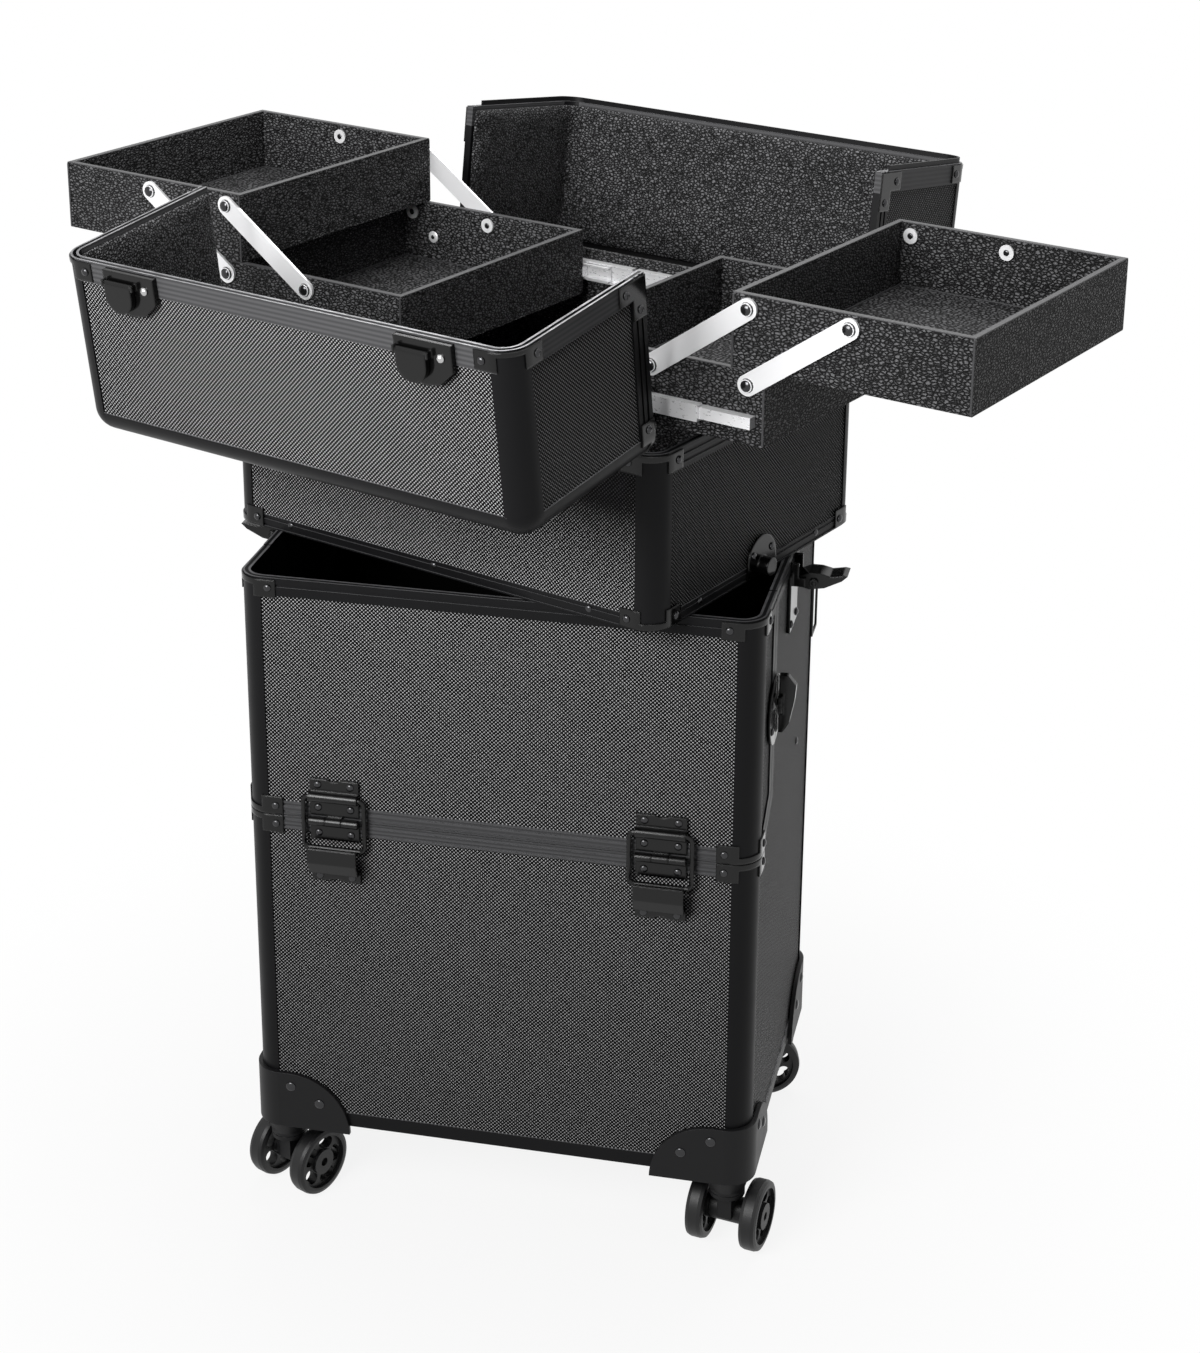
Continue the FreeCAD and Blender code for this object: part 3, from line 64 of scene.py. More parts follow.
def blended(tree, factor, first, second):
    """A colour mixed from two; each is a colour or another node's output."""
    node = tree.nodes.new("ShaderNodeMix")
    node.data_type = "RGBA"
    tree.links.new(factor, node.inputs["Factor"])
    for letter, colour in (("A", first), ("B", second)):
        socket = next(item for item in node.inputs if item.name == letter and item.type == "RGBA")
        if isinstance(colour, bpy.types.NodeSocket):
            tree.links.new(colour, socket)
        else:
            socket.default_value = colour
    return next(item for item in node.outputs if item.type == "RGBA")


def spread(tree, value, low, high, start=0.0, end=1.0, smooth=False):
    """A Map Range node: value runs from start to end, and the result from low to high."""
    node = tree.nodes.new("ShaderNodeMapRange")
    if smooth:
        node.interpolation_type = "SMOOTHSTEP"
    node.inputs["From Min"].default_value = start
    node.inputs["From Max"].default_value = end
    node.inputs["To Min"].default_value = low
    node.inputs["To Max"].default_value = high
    tree.links.new(value, node.inputs["Value"])
    return node.outputs[0]


def fresh_material(name):
    """A new material, its tree, its shader and its texture coordinates."""
    material = bpy.data.materials.new(name)
    material.use_nodes = True
    tree = material.node_tree
    return material, tree, tree.nodes["Principled BSDF"], tree.nodes.new("ShaderNodeTexCoord")


def seen_rays(tree):
    """One for rays that show a surface to the eye, also in gloss or glass, and none for its light."""
    rays = tree.nodes.new("ShaderNodeLightPath")
    straight = reckon(tree, "MAXIMUM", rays.outputs["Is Camera Ray"], rays.outputs["Is Glossy Ray"])
    return reckon(tree, "MAXIMUM", straight, rays.outputs["Is Transmission Ray"])


floor_half = 6.0
floor_white = (0.9, 0.9, 0.9, 1)
floor_as_light = (0.2, 0.2, 0.2, 1)
shadow_share = 0.88
shadow_near = 0.15
shadow_far = 0.6
floor_form = bmesh.new()
bmesh.ops.create_grid(floor_form, x_segments=1, y_segments=1, size=floor_half)
floor_mesh = bpy.data.meshes.new("studio_floor")
floor_form.to_mesh(floor_mesh)
floor_form.free()
studio_floor = bpy.data.objects.new("studio_floor", floor_mesh)
bpy.context.collection.objects.link(studio_floor)
floor_paint, floor_tree, floor_shader, floor_coords = fresh_material("floor_paint")
seen = seen_rays(floor_tree)
floor_colour = blended(floor_tree, seen, floor_as_light, floor_white)
floor_tree.links.new(floor_colour, floor_shader.inputs["Base Color"])
floor_shader.inputs["Roughness"].default_value = 0.9
floor_shader.inputs["Specular IOR Level"].default_value = 0
white_glow = floor_tree.nodes.new("ShaderNodeEmission")
white_glow.inputs["Strength"].default_value = 1
away = floor_tree.nodes.new("ShaderNodeVectorMath")
away.operation = "LENGTH"
floor_tree.links.new(floor_coords.outputs["Object"], away.inputs[0])
clearness = spread(floor_tree, away.outputs["Value"], shadow_share, 1, shadow_near, shadow_far, smooth=True)
floor_mix = floor_tree.nodes.new("ShaderNodeMixShader")
floor_tree.links.new(reckon(floor_tree, "MULTIPLY", seen, clearness), floor_mix.inputs["Fac"])
floor_tree.links.new(floor_shader.outputs[0], floor_mix.inputs[1])
floor_tree.links.new(white_glow.outputs[0], floor_mix.inputs[2])
floor_tree.links.new(floor_mix.outputs[0], floor_tree.nodes["Material Output"].inputs["Surface"])
floor_mesh.materials.append(floor_paint)

surround_light = 0.07
world = bpy.data.worlds.new("studio_surround")
world.use_nodes = True
bpy.context.scene.world = world
background = world.node_tree.nodes["Background"]
background.inputs["Color"].default_value = (1, 1, 1, 1)
world.node_tree.links.new(spread(world.node_tree, seen_rays(world.node_tree), surround_light, 1),
                          background.inputs["Strength"])


def soft_box(name, place, aim, wide, tall, watts, beam=math.pi):
    """A flat lamp that faces the point it is aimed at; beam is the angle that its light spreads over."""
    lamp = bpy.data.lights.new(name, "AREA")
    lamp.shape = "RECTANGLE"
    lamp.size = wide
    lamp.size_y = tall
    lamp.energy = watts
    lamp.spread = beam
    box = bpy.data.objects.new(name, lamp)
    box.location = place
    box.rotation_euler = (Vector(aim) - Vector(place)).to_track_quat("-Z", "Y").to_euler()
    bpy.context.collection.objects.link(box)


soft_box("key_box", place=(-0.5, -1.15, 1.08), aim=(-0.03, -0.1, 0.68), wide=0.8, tall=0.6, watts=6.6,
         beam=1.5)
soft_box("top_box", place=(0.1, 0.1, 2.3), aim=(0, 0, 0.4), wide=1.4, tall=1.4, watts=22)
soft_box("back_strip", place=(0, 1.1, 1.7), aim=(0, 0, 0.5), wide=1.4, tall=0.25, watts=9)

photo_wide = 1200
photo_tall = 1353
focal_pixels = 2684.4
centre_across = 599.2
centre_down = 449.3
camera_place = Vector((0.3918, -1.6162, 1.1203))
camera_aim = Vector((0.0251, 0.0674, 0.5005))
camera_roll = 0.007
camera_data = bpy.data.cameras.new("photo_camera")
camera_data.sensor_fit = "AUTO"
camera_data.sensor_width = 36
camera_data.lens = camera_data.sensor_width * focal_pixels / photo_tall
camera_data.shift_x = (photo_wide / 2 - centre_across) / photo_tall
camera_data.shift_y = (centre_down - photo_tall / 2) / photo_tall
camera_data.clip_start = 0.01
photo_camera = bpy.data.objects.new("photo_camera", camera_data)
photo_camera.location = camera_place
photo_camera.rotation_mode = "QUATERNION"
photo_camera.rotation_quaternion = ((camera_aim - camera_place).to_track_quat("-Z", "Y")
                                    @ Quaternion((0, 0, 1), camera_roll))
bpy.context.collection.objects.link(photo_camera)
bpy.context.scene.camera = photo_camera
bpy.context.scene.view_settings.view_transform = "Standard"

# Boards: plywood faced with black plastic that is embossed all over with fine raised points, whose upper
# ends are painted light grey as painted highlights. Inside they are lined with dull black cloth. The top
# case stands askew on the trolley, so its boards' pattern is turned with it, and the lids' with their hinge
# lines.
joint_at = {joint["name"]: Vector(joint.get("pos_m", (0, 0, 0))) for joint in frame["joints"]}
joint_along = {joint["name"]: Vector(joint["axis"]) for joint in frame["joints"]}
hinge_line = joint_along["front_lid_hinge"]
top_turn = math.atan2(hinge_line.y, hinge_line.x)
top_rim = joint_at["front_lid_hinge"].z
top_height = 0.114
front_lid_angle = math.radians(97.65)
rear_lid_angle = math.radians(98.15)
hinge_middle = (joint_at["front_lid_hinge"] + joint_at["rear_lid_hinge"]) / 2
trolley_place = Matrix()
top_place = (Matrix.Translation((hinge_middle.x, hinge_middle.y, top_rim - top_height))
             @ Matrix.Rotation(top_turn, 4, "Z"))
lid_places = {
    "front": (Matrix.Translation(joint_at["front_lid_hinge"]) @ Matrix.Rotation(top_turn, 4, "Z")
              @ Matrix.Rotation(front_lid_angle, 4, "X")),
    "rear": (Matrix.Translation(joint_at["rear_lid_hinge"]) @ Matrix.Rotation(top_turn + math.pi, 4, "Z")
             @ Matrix.Rotation(rear_lid_angle, 4, "X")),
}
trolley_middle = (0, 0, 0.27)
top_middle = (0, 0, 0.06)
lid_middle = (0, 0.08, 0.05)
point_pitch = 0.0026
point_deep = 0.0003
point_highlight_grey = (0.42, 0.42, 0.425, 1)
ground_black = (0.001, 0.001, 0.001, 1)
cloth_black = (0.004, 0.004, 0.004, 1)


def local_axes(tree, coords, output, kind, place):
    """A Texture Coordinate output in a piece's own axes, as three numbers and the vector."""
    back = place.inverted()
    mapping = tree.nodes.new("ShaderNodeMapping")
    mapping.vector_type = kind
    mapping.inputs["Rotation"].default_value = back.to_euler()
    if kind == "POINT":
        mapping.inputs["Location"].default_value = back.translation
    tree.links.new(coords.outputs[output], mapping.inputs["Vector"])
    parts = tree.nodes.new("ShaderNodeSeparateXYZ")
    tree.links.new(mapping.outputs[0], parts.inputs[0])
    return list(parts.outputs), mapping.outputs[0]


def raised(tree, shader, height, deep, strength, eased=0):
    """A Bump node on the shader's normal, over edges that are eased by a small radius."""
    bump = tree.nodes.new("ShaderNodeBump")
    if eased:
        edges = tree.nodes.new("ShaderNodeBevel")
        edges.samples = 4
        edges.inputs["Radius"].default_value = eased
        tree.links.new(edges.outputs[0], bump.inputs["Normal"])
    bump.inputs["Distance"].default_value = deep
    bump.inputs["Strength"].default_value = strength
    tree.links.new(height, bump.inputs["Height"])
    tree.links.new(bump.outputs[0], shader.inputs["Normal"])


def embossed_board(name, place, middle):
    """Embossed facing, its raised points painted light grey as painted highlights, on the sides that face
    away from the box's middle, and lining cloth on the others.
    """
    material, tree, shader, coords = fresh_material(name)
    (x, y, z), point = local_axes(tree, coords, "Object", "POINT", place)
    (facing_x, _, facing_z), facing = local_axes(tree, coords, "Normal", "VECTOR", place)
    from_x = reckon(tree, "SUBTRACT", y, x)
    from_z = reckon(tree, "SUBTRACT", y, z)
    over = reckon(tree, "MULTIPLY_ADD", from_x, reckon(tree, "ABSOLUTE", facing_x), x)
    up = reckon(tree, "MULTIPLY_ADD", from_z, reckon(tree, "ABSOLUTE", facing_z), z)
    wave = 2 * math.pi / point_pitch
    swell = reckon(tree, "MULTIPLY", reckon(tree, "COSINE", reckon(tree, "MULTIPLY", over, wave)),
                   reckon(tree, "COSINE", reckon(tree, "MULTIPLY", up, wave)))
    from_middle = tree.nodes.new("ShaderNodeVectorMath")
    from_middle.operation = "SUBTRACT"
    from_middle.inputs[1].default_value = middle
    tree.links.new(point, from_middle.inputs[0])
    outward = tree.nodes.new("ShaderNodeVectorMath")
    outward.operation = "DOT_PRODUCT"
    tree.links.new(from_middle.outputs[0], outward.inputs[0])
    tree.links.new(facing, outward.inputs[1])
    outside = reckon(tree, "GREATER_THAN", outward.outputs["Value"], 0)
    # Painted highlight: the raised points' upper ends are painted light grey on the black ground, in place
    # of the light they catch.
    point_highlight = spread(tree, swell, 0, 1, 0.1, 0.7, smooth=True)
    facing_with_highlights = blended(tree, point_highlight, ground_black, point_highlight_grey)
    tree.links.new(blended(tree, outside, cloth_black, facing_with_highlights), shader.inputs["Base Color"])
    tree.links.new(spread(tree, outside, 0.95, 0.5), shader.inputs["Roughness"])
    shader.inputs["Specular IOR Level"].default_value = 0.05
    raised(tree, shader, reckon(tree, "MULTIPLY", swell, outside), point_deep, 0.5)
    return material


def dress(material, *names):
    """Put a material on CAD nodes."""
    for name in names:
        for holder in frame["nodes"][name].material_slots:
            holder.material = material


trolley_board = embossed_board("trolley_board", trolley_place, trolley_middle)
dress(trolley_board, "trolley_floor", "trolley_front_panel", "trolley_rear_panel", "trolley_left_panel",
      "trolley_right_panel", "door_panel", "door_cheeks")
top_board = embossed_board("top_board", top_place, top_middle)
dress(top_board, "case_floor", "case_long_panels", "case_end_panels")
for side, place in lid_places.items():
    dress(embossed_board(f"{side}_lid_board", place, lid_middle), f"{side}_lid_panels")

# Edge profiles: extruded aluminium, anodised black, round on the posts and grooved along the rims. Two lips
# run round each open rim with a groove between them; their upward faces are worn to bare metal and painted
# light grey as a painted reflection, and show as thin light lines.
half_wide = 0.170
half_deep = 0.121
corner_round = 0.016
seam = 0.2977
seam_rail = 0.0105
top_half_wide = 0.169
rim_rail = 0.014
lid_height = 0.128
lid_face = 0.002
lid_splits = {"front": lid_face + 0.118, "rear": lid_face + 0.120}
lip_wear_and_sheen_grey = (0.3, 0.3, 0.31, 1)
rail_grey = (0.085, 0.085, 0.088, 1)
profile_black = (0.0045, 0.0045, 0.005, 1)
outer_lip = 0.0012
inner_lip = 0.0034
rail_wave = 2 * math.pi / 0.003


def anodised(name, place, lip, rail, across, half_across, half_along, mirrored):
    """Black metal, greyer on the rim's rails, with two lips round a box of this size, worn bare and painted
    light grey on their upward faces as a painted reflection.
    """
    material, tree, shader, coords = fresh_material(name)
    facing = local_axes(tree, coords, "Normal", "VECTOR", place)[0]
    point = local_axes(tree, coords, "Object", "POINT", place)[0]
    along = reckon(tree, "ABSOLUTE", point[across]) if mirrored else point[across]
    beyond_x = reckon(tree, "SUBTRACT", reckon(tree, "ABSOLUTE", point[0]), half_across - corner_round)
    beyond_y = reckon(tree, "SUBTRACT", along, half_along - corner_round)
    past_x = reckon(tree, "POWER", reckon(tree, "MAXIMUM", beyond_x, 0), 2)
    past_y = reckon(tree, "POWER", reckon(tree, "MAXIMUM", beyond_y, 0), 2)
    round_part = reckon(tree, "SQRT", reckon(tree, "ADD", past_x, past_y))
    flat_part = reckon(tree, "MINIMUM", reckon(tree, "MAXIMUM", beyond_x, beyond_y), 0)
    depth = reckon(tree, "SUBTRACT", corner_round, reckon(tree, "ADD", round_part, flat_part))
    lips = reckon(tree, "MAXIMUM", reckon(tree, "LESS_THAN", depth, outer_lip),
                  reckon(tree, "GREATER_THAN", depth, inner_lip))
    # Worn bare metal and painted reflection: only the lips' upward faces are painted light grey, as if lit
    # from above.
    worn_and_sheen_lips = reckon(tree, "MULTIPLY", lips, reckon(tree, "GREATER_THAN", facing[lip], 0.9))
    scuff = tree.nodes.new("ShaderNodeTexNoise")
    scuff.inputs["Scale"].default_value = 90
    scuff.inputs["Detail"].default_value = 4
    tree.links.new(coords.outputs["Object"], scuff.inputs["Vector"])
    shine = reckon(tree, "MULTIPLY", worn_and_sheen_lips, spread(tree, scuff.outputs["Fac"], 0.5, 1, 0.35, 0.65))
    outer_face = reckon(tree, "LESS_THAN", reckon(tree, "ABSOLUTE", facing[lip]), 0.5)
    squarely = reckon(tree, "MAXIMUM", reckon(tree, "ABSOLUTE", facing[0]),
                      reckon(tree, "ABSOLUTE", facing[across]))
    straight = reckon(tree, "GREATER_THAN", squarely, 0.97)
    within = reckon(tree, "MULTIPLY", reckon(tree, "GREATER_THAN", point[lip], rail[0]),
                    reckon(tree, "LESS_THAN", point[lip], rail[1]))
    on_rail = reckon(tree, "MULTIPLY", outer_face, reckon(tree, "MULTIPLY", straight, within))
    wave = reckon(tree, "SINE", reckon(tree, "MULTIPLY", point[lip], rail_wave))
    rail_lines = spread(tree, wave, 0.55, 1, -1)
    body_colour = blended(tree, reckon(tree, "MULTIPLY", on_rail, rail_lines), profile_black, rail_grey)
    tree.links.new(blended(tree, shine, body_colour, lip_wear_and_sheen_grey), shader.inputs["Base Color"])
    tree.links.new(spread(tree, shine, 0, 0.8), shader.inputs["Metallic"])
    tree.links.new(spread(tree, scuff.outputs["Fac"], 0.36, 0.48), shader.inputs["Roughness"])
    shader.inputs["Specular IOR Level"].default_value = 0.12
    return material


seam_rails = (seam - seam_rail, seam + seam_rail)
dress(anodised("trolley_profile", trolley_place, 2, seam_rails, 1, half_wide, half_deep, True),
      "trolley_frame", "door_frame")
case_rails = (top_height - rim_rail, top_height)
dress(anodised("top_profile", top_place, 2, case_rails, 1, top_half_wide, half_deep, True), "case_frame")
for side, place in lid_places.items():
    lid_rails = (lid_splits[side] - rim_rail, lid_splits[side])
    dress(anodised(f"{side}_lid_profile", place, 1, lid_rails, 2, top_half_wide, lid_height, False),
          f"{side}_lid_frame")


# Pressed steel corners, hinges, catches and latches: sheet steel in gloss black enamel, held by domed
# rivets that are enamelled with them.
def enamelled(name, colour, rough, grain, shine, metal=0, eased=0):
    """A coated or moulded surface: a faint mottle in its gloss and a fine grain in its face."""
    material, tree, shader, coords = fresh_material(name)
    shader.inputs["Metallic"].default_value = metal
    shader.inputs["Base Color"].default_value = (*colour, 1)
    shader.inputs["Specular IOR Level"].default_value = shine
    mottle = tree.nodes.new("ShaderNodeTexNoise")
    mottle.inputs["Scale"].default_value = 60
    mottle.inputs["Detail"].default_value = 4
    tree.links.new(coords.outputs["Object"], mottle.inputs["Vector"])
    gloss = spread(tree, mottle.outputs["Fac"], rough - 0.06, rough + 0.06)
    tree.links.new(gloss, shader.inputs["Roughness"])
    speck = tree.nodes.new("ShaderNodeTexNoise")
    speck.inputs["Scale"].default_value = 1800
    tree.links.new(coords.outputs["Object"], speck.inputs["Vector"])
    raised(tree, shader, speck.outputs["Fac"], grain, 0.4, eased)
    return material


gloss_enamel = enamelled("gloss_enamel", (0.002, 0.002, 0.002), 0.15, 0.00001, 0.32, eased=0.0016)
rivet_enamel = enamelled("rivet_enamel", (0.045, 0.045, 0.047), 0.16, 0.00001, 0.5, 0.8)
dress(gloss_enamel, "trolley_brackets", "case_brackets", "door_brackets", "hinge_sleeves", "latch_bases",
      "door_fittings", "door_bails", "door_latch_left", "door_latch_right", "end_latch_lever_left",
      "end_latch_lever_right", "end_latch_bail_left", "end_latch_bail_right", "case_fittings",
      "front_lid_fittings", "rear_lid_fittings", "front_lid_latch_left", "front_lid_latch_right")
rim = 0.4655
door_rim = 0.4651
plate = 0.001
tab_middle = 0.0065
tab_rivet = 0.005
rivet_wide = 0.0055
rivet_proud = 0.0016
strip_rivet_back = 0.051
strip_rivet_high = 0.3045


def new_piece(name, form, body, finish):
    """A finished form becomes a piece that rides on a body."""
    bmesh.ops.recalc_face_normals(form, faces=form.faces[:])
    mesh = bpy.data.meshes.new(name)
    form.to_mesh(mesh)
    form.free()
    mesh.materials.append(finish)
    piece = bpy.data.objects.new(name, mesh)
    bpy.context.collection.objects.link(piece)
    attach(piece, body)
    return piece


def riveted(name, body, place, spots, wide=rivet_wide, proud=rivet_proud, finish=rivet_enamel):
    """Domed heads; each spot is a point on a plate and the way the plate faces, in the place's axes."""
    form = bmesh.new()
    bmesh.ops.create_uvsphere(form, u_segments=12, v_segments=8, radius=0.5)
    bmesh.ops.bisect_plane(form, geom=form.verts[:] + form.edges[:] + form.faces[:], dist=0.00001,
                           plane_co=(0, 0, 0), plane_no=(0, 0, 1), clear_inner=True)
    bmesh.ops.holes_fill(form, edges=form.edges[:])
    for face in form.faces:
        face.smooth = True
    head = form.verts[:] + form.edges[:] + form.faces[:]
    pattern = form.verts[:]
    for point, facing in spots:
        copy = bmesh.ops.duplicate(form, geom=head)
        moved = [thing for thing in copy["geom"] if isinstance(thing, bmesh.types.BMVert)]
        turn = Vector((0, 0, 1)).rotation_difference(Vector(facing)).to_matrix().to_4x4()
        size = Matrix.Diagonal((wide, wide, proud * 2, 1))
        bmesh.ops.transform(form, verts=moved, matrix=place @ Matrix.Translation(point) @ turn @ size)
    bmesh.ops.delete(form, geom=pattern, context="VERTS")
    return new_piece(name, form, body, finish)


def corner_spots(signs, wide, deep, height):
    """The two tabs of a pressed corner on a box's post."""
    side, end = signs
    in_from = corner_round + tab_rivet
    return [((side * (wide - in_from), end * (deep + plate), height), (0, end, 0)),
            ((side * (wide + plate), end * (deep - in_from), height), (side, 0, 0))]


trolley_spots = []
door_spots = []
top_spots = []
for side in (-1, 1):
    trolley_spots += corner_spots((side, 1), half_wide, half_deep, rim - tab_middle)
    trolley_spots += corner_spots((side, -1), half_wide, half_deep, seam - tab_middle)
    strip_face = side * half_wide - side * plate
    trolley_spots += [((strip_face, strip_rivet_back, strip_rivet_high), (side, 0, 0))]
    door_spots += corner_spots((side, -1), half_wide, half_deep, seam + tab_middle)
    door_spots += corner_spots((side, -1), half_wide, half_deep, door_rim - tab_middle)
    for end in (-1, 1):
        for height in (tab_middle, top_height - tab_middle):
            top_spots += corner_spots((side, end), top_half_wide, half_deep, height)

# Stop hinges of the door: a riveted butt hinge behind, and in front of it a strap curled round a wire bail
# that slides in a bulged sleeve. Two rivets hold each leaf, the strap and the sleeve's foot.
leaf = 0.0015
hinge_half_apart = 0.1085
rivets_apart = 0.022
leaf_rivet = 0.0092
strap_rivet = 0.0255
sleeve_rivet = 0.0405
for middle in (-hinge_half_apart, hinge_half_apart):
    for across_hinge in (-rivets_apart / 2, rivets_apart / 2):
        for rivets, height in ((door_spots, seam + strap_rivet), (door_spots, seam + leaf_rivet),
                               (trolley_spots, seam - leaf_rivet), (trolley_spots, seam - sleeve_rivet)):
            rivets.append(((middle + across_hinge, -half_deep - leaf, height), (0, -1, 0)))

# Latches of the trolley and the top case: draw latches on the ends with a wire bail, catches for them on the
# top case, and a butterfly latch over each side seam, all riveted to the boards.
draw_latch_high = rim - 0.012 - 0.035
turn_latch_high = rim - 0.082
turn_latch_front = -0.083
catch_high = 0.016
draw_rivet = 0.011
turn_rivet = 0.009
for side in (-1, 1):
    for y in (-draw_rivet, draw_rivet):
        trolley_spots.append(((side * (half_wide + leaf), y, draw_latch_high), (side, 0, 0)))
        top_spots.append(((side * (top_half_wide + leaf), y, catch_high), (side, 0, 0)))
    for z in (-turn_rivet, turn_rivet):
        spot = (side * (half_wide + leaf), turn_latch_front, turn_latch_high + z)
        door_spots.append((spot, (side, 0, 0)))

# Corner guards and casters: moulded in dull black plastic. A guard wraps each lower corner of the trolley
# and holds a caster's socket; two wide rivets fix each wing, one further in and lower than the other.
guard_plastic = enamelled("guard_plastic", (0.007, 0.007, 0.0075), 0.46, 0.00006, 0.2, eased=0.0008)
wheel_plastic = enamelled("wheel_plastic", (0.008, 0.008, 0.0085), 0.44, 0.00005, 0.35)
corners = ("front_left", "front_right", "rear_left", "rear_right")
dress(guard_plastic, "corner_guards", *(f"caster_fork_{corner}" for corner in corners))
dress(wheel_plastic, *(f"caster_wheels_{corner}" for corner in corners))
box_floor = 0.065
guard_wall = 0.003
guard_rivet_wide = 0.0075
guard_rivet_proud = 0.0014
wing_rivets = ((0.025, 0.027), (0.045, 0.016))
guard_spots = []
for side in (-1, 1):
    for end in (-1, 1):
        long_face = end * (half_deep + guard_wall)
        end_face = side * (half_wide + guard_wall)
        for in_from, up in wing_rivets:
            height = box_floor + up
            guard_spots.append(((side * (half_wide - in_from), long_face, height), (0, end, 0)))
            guard_spots.append(((end_face, end * (half_deep - in_from), height), (side, 0, 0)))
riveted("guard_rivets", "trolley", trolley_place, guard_spots, guard_rivet_wide, guard_rivet_proud)
riveted("trolley_rivets", "trolley", trolley_place, trolley_spots)
riveted("door_rivets", "door", trolley_place, door_spots)

# Foot rails and lid hinges of the top case: the ribbed profiles round its foot are riveted to the boards,
# three rivets to a long side and two to an end, and so are the lower leaves of the lids' hinges.
foot_rail_high = 0.0055
foot_rail_in = 0.0008
long_side_rivets = (-0.120, -0.001, 0.119)
end_rivets = (-0.071, 0.071)
lid_hinge_half_apart = 0.1085
for x in long_side_rivets:
    for end in (-1, 1):
        top_spots.append(((x, end * (half_deep - foot_rail_in), foot_rail_high), (0, end, 0)))
for side in (-1, 1):
    for y in end_rivets:
        top_spots.append(((side * (top_half_wide - foot_rail_in), y, foot_rail_high), (side, 0, 0)))
for x in (-lid_hinge_half_apart, lid_hinge_half_apart):
    for across_hinge in (-rivets_apart / 2, rivets_apart / 2):
        for end in (-1, 1):
            spot = (x + across_hinge, end * (half_deep + leaf), top_height - leaf_rivet)
            top_spots.append((spot, (0, end, 0)))
riveted("top_case_rivets", "top_case", top_place, top_spots)

# Half lids: pressed corners round the open rim, flat angle plates at its ends, and corners at the hinge
# side, each with its rivets.
lid_tab_middle = 0.007
angle_arm = 0.0205
for name, split in lid_splits.items():
    spots = []
    along_rim = split - lid_tab_middle
    for side in (-1, 1):
        end_face = side * (top_half_wide + plate)
        near_end = side * (top_half_wide - corner_round - tab_rivet)
        spots += [
            ((near_end, along_rim, lid_height + plate), (0, 0, 1)),
            ((end_face, along_rim, lid_height - corner_round - tab_rivet), (side, 0, 0)),
            ((end_face, along_rim, angle_arm), (side, 0, 0)),
            ((end_face, split - angle_arm, lid_tab_middle), (side, 0, 0)),
            ((near_end, lid_face - plate, lid_tab_middle), (0, -1, 0)),
            ((end_face, lid_face + corner_round + tab_rivet, lid_tab_middle), (side, 0, 0)),
        ]
        for across_hinge in (-rivets_apart / 2, rivets_apart / 2):
            spot = (side * lid_hinge_half_apart + across_hinge, lid_face - leaf, leaf_rivet)
            spots.append((spot, (0, -1, 0)))
    riveted(f"{name}_lid_rivets", f"{name}_lid", lid_places[name], spots)

# Lid latches: two thumb latches on the front lid's rim, each a pressed plate with a bowed foot and a round
# thumb piece, in the enamel of the other fittings. One bright steel rivet on its right holds each.
bright_steel, _, bright_shader, _ = fresh_material("bright_steel")
bright_shader.inputs["Metallic"].default_value = 1
bright_shader.inputs["Roughness"].default_value = 0.22
bright_shader.inputs["Base Color"].default_value = (0.5, 0.5, 0.5, 1)
latch_half_apart = 0.110
latch_rivet_right = 0.0125
latch_rivet_down = 0.0095
latch_plate_proud = 0.004
latch_rivet_wide = 0.0058
latch_rivet_proud = 0.0022
latch_rivet_high = lid_splits["front"] - latch_rivet_down
latch_spots = [((middle + latch_rivet_right, latch_rivet_high, lid_height + latch_plate_proud), (0, 0, 1))
               for middle in (-latch_half_apart, latch_half_apart)]
riveted("lid_latch_rivets", "front_lid", lid_places["front"], latch_spots, latch_rivet_wide,
        latch_rivet_proud, bright_steel)


# Trays and support boards: thin board, glued up into open boxes and covered in black leather cloth, whose
# coarse pebble lies lengthwise. The support boards stand in the top case and carry the slides.
pebble_drift = 0.6
pebble_edge = 0.34
pebble_deep = 0.45
crease_painted_shade_share = 0.005


def pebbled_leather(name, place, colour, cell, lie):
    """Leather with raised pebbles, longer than they are tall, and creases between them; the crowns are
    painted pale as painted highlights and the creases near black as painted shade.
    """
    material, tree, shader, coords = fresh_material(name)
    point = local_axes(tree, coords, "Object", "POINT", place)[1]
    stretch = tree.nodes.new("ShaderNodeMapping")
    stretch.inputs["Scale"].default_value = [amount / cell for amount in lie]
    tree.links.new(point, stretch.inputs["Vector"])
    wander = tree.nodes.new("ShaderNodeTexNoise")
    wander.inputs["Scale"].default_value = 1.3
    wander.inputs["Detail"].default_value = 2
    tree.links.new(stretch.outputs[0], wander.inputs["Vector"])
    drift = tree.nodes.new("ShaderNodeVectorMath")
    drift.operation = "MULTIPLY_ADD"
    drift.inputs[1].default_value = (pebble_drift, pebble_drift, pebble_drift)
    tree.links.new(wander.outputs["Color"], drift.inputs[0])
    tree.links.new(stretch.outputs[0], drift.inputs[2])
    pebble = tree.nodes.new("ShaderNodeTexVoronoi")
    pebble.feature = "DISTANCE_TO_EDGE"
    pebble.inputs["Scale"].default_value = 1
    tree.links.new(drift.outputs[0], pebble.inputs["Vector"])
    crown = spread(tree, pebble.outputs["Distance"], 0, 1, 0, pebble_edge, smooth=True)
    # Painted highlight and shade: the pebbles' crowns take the pale colour given, far paler than black
    # leather, and the creases go near black.
    crease = (*(part * crease_painted_shade_share for part in colour), 1)
    tree.links.new(blended(tree, crown, crease, (*colour, 1)), shader.inputs["Base Color"])
    tree.links.new(spread(tree, crown, 0.6, 0.3), shader.inputs["Roughness"])
    shader.inputs["Specular IOR Level"].default_value = 0.1
    raised(tree, shader, crown, cell * pebble_deep, 1)
    return material


pebble_long = (0.72, 0.72, 1.2)
